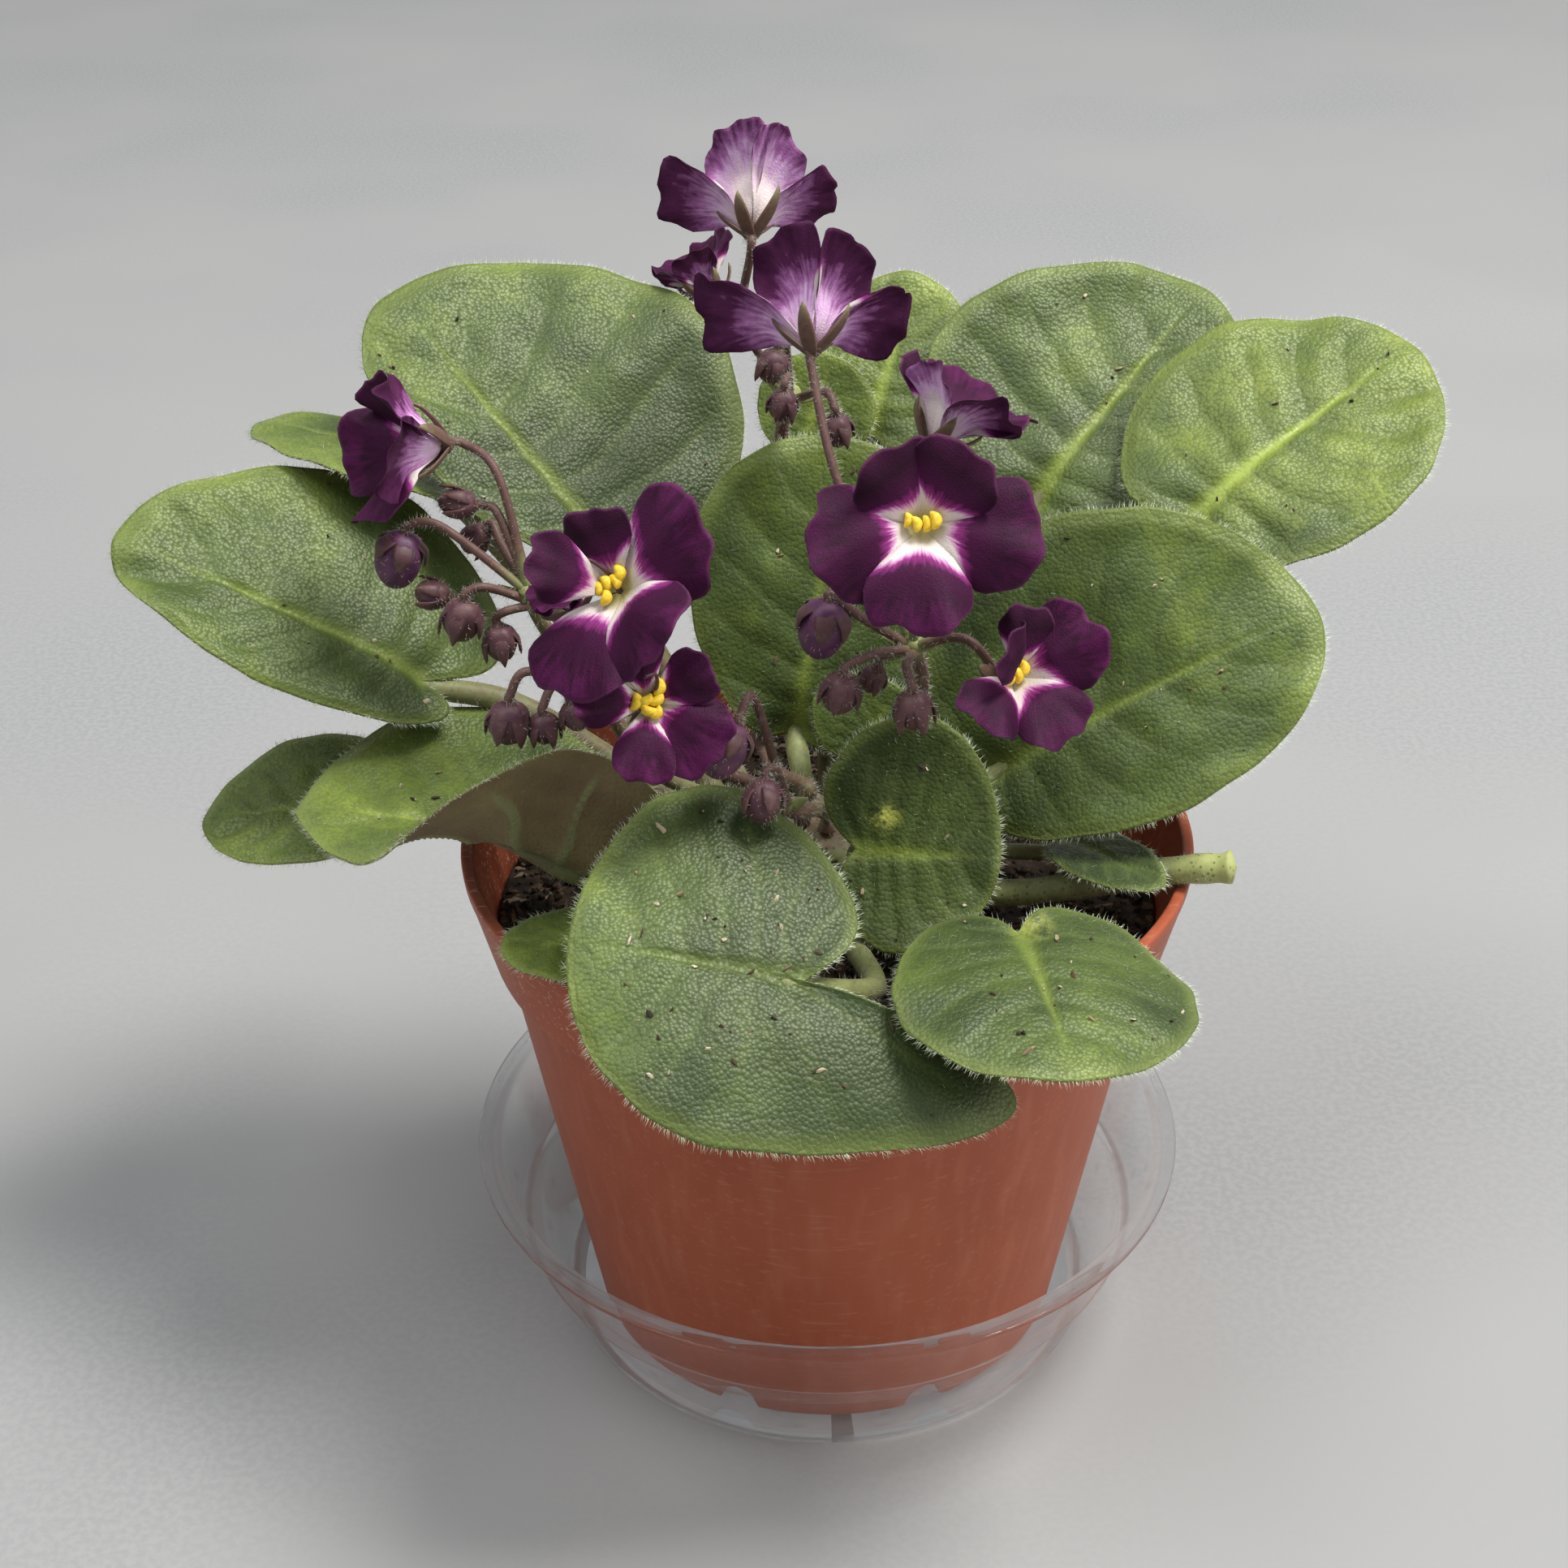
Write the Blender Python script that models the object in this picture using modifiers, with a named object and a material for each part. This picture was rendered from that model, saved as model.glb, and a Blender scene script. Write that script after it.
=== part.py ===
"""A potted African violet: saucer, pot, soil, and the plant with its leaves, flower stalks, flowers and buds.

Lengths in the design values are millimetres; MM turns them into Blender's metres. The origin is on the pot's
axis, on the surface the saucer stands on, with +Z up and the plant's front towards -Y.
"""

from math import cos, pi, radians, sin

import bmesh
import bpy
import numpy as np
from mathutils import Vector

MM = 0.001
SEAT_GAP = 0.3  # clearance between two pieces that touch
MERGE = 0.0001  # merge distance in metres, for profiles that end on the axis

# ---- driving dimensions -------------------------------------------------------------------------------
POT_RIM_RADIUS = 60.0
POT_RIM_HEIGHT = 94.0
POT_BAND_HEIGHT = 17.0
POT_BODY_RADIUS = 54.0
POT_BASE_RADIUS = 41.0
POT_WALL = 1.5
POT_FOOT_HEIGHT = 3.0
DRAIN_COUNT = 8
DRAIN_RADIUS = 3.4
DRAIN_LENGTH = 14.0  # how far each notch reaches through the foot and under the floor
DRAIN_RISE = 1.5  # height of a notch's axis over the foot

SAUCER_WALL = 1.1
SAUCER_FLOOR = 1.4
SAUCER_FOOT_RADIUS = 45.6
SAUCER_STEP_RADIUS = 53.0
SAUCER_STEP_HEIGHT = 17.5
SAUCER_RIM_RADIUS = 61.4
SAUCER_RIM_HEIGHT = 34.0
SAUCER_LIP = 3.0

SOIL_DEPTH_BELOW_RIM = 11.0
CROWN_RADIUS = 10.0
CROWN_HEIGHT = 12.0

BLADE_THICKNESS = 1.4
PETAL_THICKNESS = 0.7
TURN_STEPS = 36


# ---- scene and collections ----------------------------------------------------------------------------
for left_over in list(bpy.data.objects):
    bpy.data.objects.remove(left_over, do_unlink=True)

plant_collection = bpy.data.collections.new("potted_african_violet")
bpy.context.scene.collection.children.link(plant_collection)
helper_collection = bpy.data.collections.new("cutters_and_joined_parts")
bpy.context.scene.collection.children.link(helper_collection)


def finish(name, color, roughness, metallic=0.0):
    """A Principled material in one colour."""
    material = bpy.data.materials.new(name)
    material.use_nodes = True
    shader = material.node_tree.nodes["Principled BSDF"]
    shader.inputs["Base Color"].default_value = (*color, 1.0)
    shader.inputs["Roughness"].default_value = roughness
    shader.inputs["Metallic"].default_value = metallic
    return material


CLEAR_PLASTIC = finish("clear_plastic", (0.80, 0.82, 0.83), 0.10)
TERRACOTTA_PLASTIC = finish("terracotta_plastic", (0.37, 0.11, 0.05), 0.45)
SOIL = finish("potting_mix", (0.035, 0.024, 0.016), 0.95)
LEAF = finish("leaf", (0.07, 0.14, 0.03), 0.50)
STALK = finish("stalk", (0.16, 0.09, 0.05), 0.60)
PETAL = finish("petal", (0.08, 0.008, 0.09), 0.55)
BUD = finish("bud", (0.10, 0.03, 0.05), 0.60)
POLLEN = finish("pollen_sac", (0.85, 0.60, 0.02), 0.45)


def add_object(name, mesh, material=None, helper=False):
    """An object for a mesh, as a node of the plant or as a helper that is joined or cut."""
    built = bpy.data.objects.new(name, mesh)
    if helper:
        built.hide_render = True
        built.display_type = "WIRE"
        helper_collection.objects.link(built)
    else:
        mesh.materials.append(material)
        mesh.shade_smooth()
        plant_collection.objects.link(built)
    return built


# ---- turned pieces ------------------------------------------------------------------------------------
def turned(name, profile, material, steps=TURN_STEPS):
    """A solid of revolution about Z, from (radius, height) points that end on the axis."""
    mesh = bpy.data.meshes.new(name)
    points = [(r * MM, 0.0, z * MM) for r, z in profile]
    mesh.from_pydata(points, [(i, i + 1) for i in range(len(points) - 1)], [])
    turned_object = add_object(name, mesh, material)
    screw = turned_object.modifiers.new("turn", "SCREW")
    screw.steps = steps
    screw.render_steps = steps
    screw.use_merge_vertices = True
    screw.merge_threshold = MERGE
    screw.use_smooth_shade = True
    return turned_object


def make_saucer():
    """Floor, wall that flares in two steps, and a flat lip; from the inner floor over the lip to the foot."""
    wall = SAUCER_WALL
    lip_inner = SAUCER_RIM_RADIUS - SAUCER_LIP
    profile = [
        (0, SAUCER_FLOOR),
        (SAUCER_FOOT_RADIUS - 1.6, SAUCER_FLOOR),
        (SAUCER_FOOT_RADIUS - 0.2, SAUCER_FLOOR + 1.5),
        (SAUCER_STEP_RADIUS - wall - 0.6, SAUCER_STEP_HEIGHT),
        (SAUCER_STEP_RADIUS - 0.2, SAUCER_STEP_HEIGHT + 0.8),
        (lip_inner - wall, SAUCER_RIM_HEIGHT - 0.8),
        (lip_inner, SAUCER_RIM_HEIGHT),
        (SAUCER_RIM_RADIUS, SAUCER_RIM_HEIGHT),
        (SAUCER_RIM_RADIUS, SAUCER_RIM_HEIGHT - wall),
        (lip_inner + 0.4, SAUCER_RIM_HEIGHT - wall - 0.3),
        (SAUCER_STEP_RADIUS + wall, SAUCER_STEP_HEIGHT),
        (SAUCER_STEP_RADIUS, SAUCER_STEP_HEIGHT - 0.9),
        (SAUCER_FOOT_RADIUS + 0.9, 1.0),
        (SAUCER_FOOT_RADIUS, 0),
        (0, 0),
    ]
    return turned("saucer", profile, CLEAR_PLASTIC)


POT_FOOT = SAUCER_FLOOR + SEAT_GAP
POT_FLOOR_TOP = POT_FOOT + POT_FOOT_HEIGHT + POT_WALL
POT_BAND_BOTTOM = POT_RIM_HEIGHT - POT_BAND_HEIGHT
POT_BAND_RADIUS = POT_BODY_RADIUS + 2.0
BODY_SLOPE = (POT_BODY_RADIUS - POT_BASE_RADIUS) / (POT_BAND_BOTTOM - POT_FOOT)


def pot_body_radius(height):
    """Outer radius of the tapered body at a height."""
    return POT_BASE_RADIUS + BODY_SLOPE * (height - POT_FOOT)


def make_pot():
    """Tapered thin wall, rim band that steps outwards, floor above a foot ring, drain notches in the foot."""
    wall = POT_WALL
    profile = [
        (0, POT_FLOOR_TOP),
        (pot_body_radius(POT_FLOOR_TOP) - wall, POT_FLOOR_TOP),
        (POT_BODY_RADIUS - wall, POT_BAND_BOTTOM),
        (POT_BAND_RADIUS - wall, POT_BAND_BOTTOM + 1.5),
        (POT_RIM_RADIUS - wall - 0.7, POT_RIM_HEIGHT - 2.0),
        (POT_RIM_RADIUS - wall - 0.5, POT_RIM_HEIGHT),
        (POT_RIM_RADIUS, POT_RIM_HEIGHT),
        (POT_RIM_RADIUS, POT_RIM_HEIGHT - 2.0),
        (POT_BAND_RADIUS, POT_BAND_BOTTOM),
        (POT_BODY_RADIUS, POT_BAND_BOTTOM - 0.8),
        (POT_BASE_RADIUS, POT_FOOT),
        (POT_BASE_RADIUS - wall, POT_FOOT),
        (pot_body_radius(POT_FLOOR_TOP) - wall - 0.6, POT_FLOOR_TOP - wall),
        (0, POT_FLOOR_TOP - wall),
    ]
    pot = turned("pot", profile, TERRACOTTA_PLASTIC)
    cutters = bmesh.new()
    for notch in range(DRAIN_COUNT):
        angle = 2 * pi * (notch + 0.5) / DRAIN_COUNT
        radius = DRAIN_RADIUS * MM
        made = bmesh.ops.create_cone(
            cutters, segments=10, radius1=radius, radius2=radius, depth=DRAIN_LENGTH * MM, cap_ends=True
        )
        middle = Vector((cos(angle), sin(angle), 0)) * (POT_BASE_RADIUS * MM)
        middle.z = (POT_FOOT + DRAIN_RISE) * MM
        turn = Vector((0, 0, 1)).rotation_difference(Vector((cos(angle), sin(angle), 0)))
        bmesh.ops.rotate(cutters, verts=made["verts"], cent=(0, 0, 0), matrix=turn.to_matrix())
        bmesh.ops.translate(cutters, verts=made["verts"], vec=middle)
    cutter_mesh = bpy.data.meshes.new("drain_cutters")
    cutters.to_mesh(cutter_mesh)
    cutters.free()
    cut = pot.modifiers.new("drain_notches", "BOOLEAN")
    cut.operation = "DIFFERENCE"
    cut.object = add_object("drain_cutters", cutter_mesh, helper=True)
    return pot


SOIL_TOP = POT_RIM_HEIGHT - SOIL_DEPTH_BELOW_RIM
CROWN_FOOT = SOIL_TOP + 1.0 + SEAT_GAP
CROWN_TOP = CROWN_FOOT + CROWN_HEIGHT


def make_soil():
    """The mix fills the pot with its seat gap to the wall, and stands a little higher round the crown."""
    clear = POT_WALL + SEAT_GAP
    profile = [
        (0, SOIL_TOP + 1.0),
        (CROWN_RADIUS + 4, SOIL_TOP + 1.0),
        (36, SOIL_TOP - 0.5),
        (POT_BAND_RADIUS - clear + 0.2, SOIL_TOP - 2.0),
        (POT_BAND_RADIUS - clear, POT_BAND_BOTTOM + 2.2),
        (POT_BODY_RADIUS - clear - 0.1, POT_BAND_BOTTOM + 0.2),
        (pot_body_radius(POT_FLOOR_TOP) - clear, POT_FLOOR_TOP + SEAT_GAP),
        (0, POT_FLOOR_TOP + SEAT_GAP),
    ]
    return turned("soil", profile, SOIL)


def make_crown():
    """The short stem, a little narrower at its top."""
    profile = [
        (0, CROWN_TOP),
        (CROWN_RADIUS - 1.5, CROWN_TOP),
        (CROWN_RADIUS, CROWN_TOP - 1.5),
        (CROWN_RADIUS, CROWN_FOOT + 1.0),
        (CROWN_RADIUS - 0.5, CROWN_FOOT),
        (0, CROWN_FOOT),
    ]
    return turned("crown", profile, STALK, steps=24)


# ---- stalks: tubes along smooth routes ----------------------------------------------------------------
def smooth_route(points, samples):
    """Even samples of the Catmull-Rom curve through hand-placed points, after a straight first stretch."""
    seat, *points = [Vector(p) for p in points]
    samples -= 1
    knots = [points[0] * 2 - points[1], *points, points[-1] * 2 - points[-2]]
    spans = len(knots) - 3
    route = [seat]
    for sample in range(samples):
        place = spans * sample / (samples - 1)
        span = min(int(place), spans - 1)
        t = place - span
        a, b, c, d = knots[span : span + 4]
        route.append(
            0.5 * (2 * b + (c - a) * t + (2 * a - 5 * b + 4 * c - d) * t**2 + (3 * b - a - 3 * c + d) * t**3)
        )
    return route


def tube_mesh(name, points, radii, samples=7, resolution=1):
    """A closed tube mesh: a bevelled curve through the points with welded caps, its radii spread evenly."""
    curve = bpy.data.curves.new(name, "CURVE")
    curve.dimensions = "3D"
    curve.bevel_depth = MM
    curve.bevel_resolution = resolution
    curve.use_fill_caps = True
    spline = curve.splines.new("POLY")
    spline.points.add(samples - 1)
    places = np.linspace(0, 1, samples)
    widths = np.interp(places, np.linspace(0, 1, len(radii)), radii)
    for knot, place, width in zip(spline.points, smooth_route(points, samples), widths):
        knot.co = (*(place * MM), 1.0)
        knot.radius = width
    carrier = bpy.data.objects.new(name, curve)
    helper_collection.objects.link(carrier)
    graph = bpy.context.evaluated_depsgraph_get()
    mesh = bpy.data.meshes.new_from_object(carrier.evaluated_get(graph))
    bpy.data.objects.remove(carrier, do_unlink=True)
    bpy.data.curves.remove(curve)
    welded = bmesh.new()
    welded.from_mesh(mesh)
    bmesh.ops.remove_doubles(welded, verts=welded.verts, dist=1e-6)
    bmesh.ops.recalc_face_normals(welded, faces=welded.faces)
    welded.to_mesh(mesh)
    welded.free()
    return mesh


def join_into(carrier, meshes):
    """Boolean unions that grow helper tubes onto a piece."""
    for count, mesh in enumerate(meshes):
        union = carrier.modifiers.new(f"grown_on_{count}", "BOOLEAN")
        union.operation = "UNION"
        union.object = add_object(mesh.name, mesh, helper=True)


# ---- leaves -------------------------------------------------------------------------------------------
# Each leaf: where its petiole leaves the crown (azimuth in degrees, height), points its petiole passes, the
# base and tip of its blade, the direction its upper face looks in, and the two half widths of the blade.
# broad pushes the widest place towards the base, lobe is how far each side reaches back past the base, cup
# is the curvature across the blade at base and tip (1/mm), droop the curvature along it.
LEAVES = [
    dict(
        crown=(147, 92), via=[(-18, 9, 104), (-29, 15, 121)],
        base=(-35, 20, 136), tip=(-72, 48, 169), face=(0.24, -0.56, 0.79),
        half=(16, 39), broad=(-0.05, 0.22), lobe=(2, 9), cup=(0.004, 0.004), droop=0.004,
    ),
    dict(
        crown=(72, 92), via=[(5, 24, 106), (8, 36, 128)],
        base=(8, 43, 146), tip=(17, 62, 167), face=(0, -0.6, 0.8),
        half=(12, 14), broad=(0.1, 0.1), lobe=(3, 3), cup=(0, 0), droop=0.005,
    ),
    dict(
        crown=(40, 92), via=[(15, 15, 102), (28, 25, 121)],
        base=(35, 30, 139), tip=(66, 60, 165), face=(-0.04, -0.57, 0.82),
        half=(29, 18), broad=(0.3, 0.1), lobe=(5, 4), cup=(0.01, 0.01), droop=0.004,
    ),
    dict(
        crown=(20, 87), via=[(24, 9, 98), (46, 15.5, 118.5)],
        base=(60, 18.5, 141.5), tip=(98, 42, 161), face=(-0.1, -0.5, 0.86),
        half=(24, 22), broad=(0.22, 0.1), lobe=(7, 6), cup=(0, 0), droop=0.006,
    ),
    dict(
        crown=(-10, 92), via=[(18, -4, 97)],
        base=(26, -5, 107), tip=(77, -1, 134), face=(-0.2, -0.75, 0.63),
        half=(31, 20), broad=(0.2, 0.05), lobe=(8, 6), cup=(0.006, 0.006), droop=0.008,
    ),
    dict(
        crown=(106, 92), via=[(-4, 12, 97)],
        base=(-5, 15, 102.5), tip=(4, 33, 149), face=(0, -0.9, 0.42),
        half=(22, 24), broad=(-0.15, -0.1), lobe=(2, 3), cup=(0.012, 0.01), droop=0.004,
    ),
    dict(
        crown=None, via=[(4, 3.5, 100)],
        base=(5, 7, 103), tip=(12, 11, 114), face=(0, -0.8, 0.6),
        half=(11, 10), broad=(0.1, 0.1), lobe=(2, 2), cup=(0, 0), droop=0,
    ),
    dict(
        crown=(-72, 92), via=[(4, -14, 95)],
        base=(4, -17, 100), tip=(27, -20, 100), face=(0, -0.87, 0.5),
        half=(22, 16), broad=(0.15, 0.2), lobe=(6, 3), cup=(0.02, 0.02), droop=0.01,
    ),
    dict(
        crown=(-94, 87), via=[(4, -24, 86), (6, -43, 91.5)],
        base=(-4, -56.5, 102.6), tip=(-38, -54.5, 107.6), face=(-0.1, -0.5, 0.86),
        half=(29, 31), broad=(0.05, 0.2), lobe=(32, 10), cup=(-0.008, -0.004), droop=0.006,
    ),
    dict(
        crown=(-47, 87), via=[(19, -17, 86.6), (27, -30, 90)],
        base=(29, -44, 103), tip=(35, -74, 97), face=(0.12, -0.1, 0.98),
        half=(24, 22), broad=(0.1, 0.1), lobe=(6, 6), cup=(-0.014, -0.012), droop=0.012,
    ),
    dict(
        crown=(170, 87), via=[(-26, 5, 97), (-50, 9, 112)],
        base=(-66, 6, 121), tip=(-112, 8, 144), face=(0.1, -0.45, 0.88),
        half=(13, 28), broad=(0.1, 0.25), lobe=(3, 10), cup=(0, 0), droop=0.006,
    ),
    dict(
        crown=(220, 87), via=[(-20, -14, 89)],
        base=(-37, -20, 98), tip=(-84, -14, 104), face=(0.1, -0.1, 0.98),
        half=(24, 24), broad=(0.1, 0.1), lobe=(5, 5), cup=(0.05, 0.01), droop=0.008,
    ),
    dict(
        crown=(195, 87), via=[(-34, -5, 91), (-55, -3, 98)],
        base=(-70, 0, 100), tip=(-103, 2, 95), face=(0.1, -0.35, 0.93),
        half=(12, 15), broad=(0.1, 0.1), lobe=(3, 3), cup=(0, 0), droop=0.01,
    ),
    dict(
        crown=(172, 92), via=[(-26, 9, 106), (-46, 21, 126)],
        base=(-58, 30, 142), tip=(-95, 40, 150), face=(0, 0.1, 0.98),
        half=(13, 13), broad=(0.1, 0.1), lobe=(3, 3), cup=(0, 0), droop=0.01,
    ),
    dict(
        crown=(243, 87), via=[(-18, -24, 88)],
        base=(-31, -31, 95), tip=(-49, -41, 97), face=(0, 0, 1),
        half=(12, 9), broad=(0.1, 0.1), lobe=(3, 3), cup=(0, 0), droop=0.004,
    ),
    dict(
        crown=(-4, 87), via=[(22, -2, 90)],
        base=(37, -7, 96.5), tip=(51, -27, 99.2), face=(0.1, -0.3, 0.95),
        half=(6, 7), broad=(0.1, 0.1), lobe=(0, 0), cup=(0, 0), droop=0.01,
    ),
    dict(
        crown=(90, 87), via=[(0, 26, 102), (-2, 36, 125)],
        base=(-3, 40, 144), tip=(2, 47, 158), face=(0, -0.8, 0.6),
        half=(10, 10), broad=(0.1, 0.1), lobe=(2, 2), cup=(0, 0), droop=0,
    ),
]
PETIOLE_RADIUS = 2.0
YOUNG_PETIOLE_RADIUS = 1.4
YOUNG_LEAF_LENGTH = 30.0  # a blade shorter than this has the thinner petiole
MIDRIB_SHARE = 0.35  # how far the petiole runs on under the blade


def unit(vector):
    return Vector(vector).normalized()


def blade_axes(leaf):
    """Length of the blade and its axes: x from base to tip, z out of its upper face, leaned for the droop."""
    base, tip = Vector(leaf["base"]), Vector(leaf["tip"])
    length = (tip - base).length
    along = unit(tip - base)
    across = unit(Vector(leaf["face"]).cross(along))
    up = along.cross(across)
    lean = leaf["droop"] * length / 2
    return length, along * cos(lean) + up * sin(lean), across, up * cos(lean) - along * sin(lean)


def bend(length, curvature):
    """Distance along a straight line, laid on an arc: how far it goes, and how far it rises."""
    curvature = np.where(np.abs(curvature) < 1e-6, 1e-6, curvature)
    return np.sin(curvature * length) / curvature, (1 - np.cos(curvature * length)) / curvature


def blade_point(leaf, along, across):
    """Point on the upper face, from the flat distances along the midrib and across from it."""
    length, x_axis, y_axis, z_axis = blade_axes(leaf)
    share = np.clip(along / length, -0.4, 1.2)
    side, rise = bend(across, leaf["cup"][0] * (1 - share) + leaf["cup"][1] * share)
    forward, fall = bend(along, leaf["droop"])
    turn = leaf["droop"] * along
    forward, height = forward + rise * np.sin(turn), rise * np.cos(turn) - fall
    return (
        np.array(leaf["base"])
        + np.multiply.outer(forward, np.array(x_axis))
        + np.multiply.outer(side, np.array(y_axis))
        + np.multiply.outer(height, np.array(z_axis))
    )


def blade_outline(leaf, angle):
    """Flat outline at an angle from the tip: an oval with its widest place and its basal lobes shifted."""
    length = blade_axes(leaf)[0]
    left = angle > 0
    half, broad, lobe = (np.where(left, *leaf[key]) for key in ("half", "broad", "lobe"))
    along = length * (0.5 + 0.5 * np.cos(angle)) - lobe * np.sin(pi * (np.abs(angle) / pi) ** 5)
    return along, half * np.sin(angle) * (1 - broad * np.cos(angle))


BLADE_CELLS = 6
BLADE_CENTRE = 0.42  # the place on the midrib that the grid opens out from


def make_leaf(name, leaf):
    """Blade: a square grid drawn out to the outline, bent, and thickened. Petiole: a tube grown onto it."""
    grid = bmesh.new()
    bmesh.ops.create_grid(grid, x_segments=BLADE_CELLS, y_segments=BLADE_CELLS, size=1.0)
    square = np.array([vertex.co for vertex in grid.verts])
    disk_x = square[:, 0] * np.sqrt(1 - square[:, 1] ** 2 / 2)
    disk_y = square[:, 1] * np.sqrt(1 - square[:, 0] ** 2 / 2)
    reach, angle = np.hypot(disk_x, disk_y), np.arctan2(disk_y, disk_x)
    length = blade_axes(leaf)[0]
    edge_along, edge_across = blade_outline(leaf, angle)
    centre = BLADE_CENTRE * length
    places = blade_point(leaf, centre + reach * (edge_along - centre), reach * edge_across)
    for vertex, place in zip(grid.verts, places):
        vertex.co = place * MM
    mesh = bpy.data.meshes.new(name)
    grid.to_mesh(mesh)
    grid.free()
    blade = add_object(name, mesh, LEAF)
    wall = blade.modifiers.new("thickness", "SOLIDIFY")
    wall.thickness = BLADE_THICKNESS * MM
    wall.offset = -1.0

    radius = PETIOLE_RADIUS if length > YOUNG_LEAF_LENGTH else YOUNG_PETIOLE_RADIUS
    z_axis = blade_axes(leaf)[3]
    if leaf["crown"]:
        azimuth, height = radians(leaf["crown"][0]), leaf["crown"][1]
        out = Vector((cos(azimuth), sin(azimuth), 0))
        start = [out * (CROWN_RADIUS + SEAT_GAP) + Vector((0, 0, height))]
        start.append(start[0] + out * 2.5)
    else:
        start = [Vector((4, 2, CROWN_TOP + SEAT_GAP)), Vector((4, 2, CROWN_TOP + 2.0))]
    drop = BLADE_THICKNESS + radius * 0.45
    under = Vector(leaf["base"]) - z_axis * drop
    rib_end = Vector(blade_point(leaf, np.array(MIDRIB_SHARE * length), np.array(0.0)))
    rib_end -= z_axis * BLADE_THICKNESS
    route = [*start, *leaf["via"], under, rib_end]
    join_into(blade, [tube_mesh(name + "_petiole", route, (radius, radius, radius, 0.6), samples=9)])
    return blade


def make_cut_petiole():
    """A stalk whose leaf was cut off: from the crown over the soil and across the rim."""
    azimuth = radians(-24)
    out = Vector((cos(azimuth), sin(azimuth), 0))
    start = out * (CROWN_RADIUS + SEAT_GAP) + Vector((0, 0, 87.5))
    route = [start, (26, -11, 87.6), (44, -15.5, 92.5), (55, -18.5, 96.4), (63, -20.8, 98.2)]
    radii = (PETIOLE_RADIUS, PETIOLE_RADIUS + 0.1, PETIOLE_RADIUS + 0.3)
    mesh = tube_mesh("cut_petiole", route, radii, samples=8, resolution=2)
    return add_object("cut_petiole", mesh, LEAF)


# ---- flowers ------------------------------------------------------------------------------------------
# Each flower: its throat, the direction it looks in, the direction of its two small upper petals, its
# radius, how steeply its petals rise (0 flat, 1 a funnel), and whether its anthers are in view.
FLOWERS = [
    dict(
        throat=(-61, 5, 160), looks=(-0.85, -0.35, 0.15), upper=(-0.2, 0.2, 1),
        radius=14, rise=0.75, anthers=False,
    ),
    dict(
        throat=(-31, -29, 152), looks=(-0.15, -0.75, 0.65), upper=(-0.3, 0.6, 0.7),
        radius=16, rise=0.25, anthers=True,
    ),
    dict(
        throat=(-26, -36, 137), looks=(0.15, -0.85, 0.50), upper=(0.4, 0.5, 0.8),
        radius=12, rise=0.25, anthers=True,
    ),
    dict(
        throat=(-2, 4, 178), looks=(0.02, 0.45, 0.90), upper=(0, -1, 0.4),
        radius=18, rise=0.70, anthers=False,
    ),
    dict(
        throat=(-12, 27, 189), looks=(0.02, 0.45, 0.90), upper=(0, -1, 0.4),
        radius=16, rise=0.65, anthers=False,
    ),
    dict(
        throat=(-19.5, 62, 165), looks=(-0.40, 0.30, 0.85), upper=(-0.5, 0.3, 1),
        radius=9, rise=0.8, anthers=False,
    ),
    dict(
        throat=(13, -28, 161), looks=(0.02, -0.86, 0.50), upper=(0, 0.5, 0.86),
        radius=17, rise=0.15, anthers=True,
    ),
    dict(
        throat=(17, -5, 166), looks=(0.55, 0.20, 0.80), upper=(-0.6, 0, 0.8),
        radius=11, rise=0.65, anthers=False,
    ),
    dict(
        throat=(27, -30, 138), looks=(0.25, -0.75, 0.60), upper=(-0.3, 0.6, 0.8),
        radius=12, rise=0.45, anthers=True,
    ),
    dict(
        throat=(-39, -14, 143), looks=(-0.30, -0.50, 0.80), upper=(0, 0.8, 0.6),
        radius=7, rise=0.8, anthers=False,
    ),
]
PETAL_SIDES = 20
THROAT_DEPTH = 2.5
THROAT_SHARE = 0.55  # share of the radius that dips into the throat
PETAL_NOTCH = 0.4  # how far the edge comes in between two petals
SMALL_PETAL = 0.82  # size of the two upper petals against the three lower ones


def make_corolla(name, flower):
    """Five petals joined round the throat: a disc with five lobes, raised outwards, and thickened."""
    looks = unit(flower["looks"])
    side = unit(Vector(flower["upper"]).cross(looks))
    upper = looks.cross(side)
    disc = bmesh.new()
    throat = Vector(flower["throat"])
    middle = disc.verts.new((throat - looks * THROAT_DEPTH) * MM)
    rings = []
    for share in (0.15, THROAT_SHARE, 1.0):
        ring = []
        for step in range(PETAL_SIDES):
            angle = 2 * pi * step / PETAL_SIDES
            lobe = abs(cos(2.5 * (angle - pi / 5))) ** 0.5
            small = SMALL_PETAL if cos(angle) > 0.5 else 1.0
            reach = flower["radius"] * share * small * (1 - share * PETAL_NOTCH * (1 - lobe))
            rise = flower["rise"] * flower["radius"] * share**1.5
            depth = THROAT_DEPTH * max(0.0, 1 - share / THROAT_SHARE)
            place = throat + (upper * cos(angle) + side * sin(angle)) * reach * cos(flower["rise"] * 0.9)
            ring.append(disc.verts.new((place + looks * (rise - depth)) * MM))
        rings.append(ring)
    for step in range(PETAL_SIDES):
        after = (step + 1) % PETAL_SIDES
        disc.faces.new((middle, rings[0][step], rings[0][after]))
        for inner, outer in zip(rings, rings[1:]):
            disc.faces.new((inner[step], outer[step], outer[after], inner[after]))
    mesh = bpy.data.meshes.new(name)
    bmesh.ops.recalc_face_normals(disc, faces=disc.faces)
    disc.normal_update()
    if sum((face.normal.dot(looks) for face in disc.faces)) < 0:
        bmesh.ops.reverse_faces(disc, faces=disc.faces)
    disc.to_mesh(mesh)
    disc.free()
    corolla = add_object(name, mesh, PETAL)
    wall = corolla.modifiers.new("thickness", "SOLIDIFY")
    wall.thickness = PETAL_THICKNESS * MM
    wall.offset = -1.0
    return corolla


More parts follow.
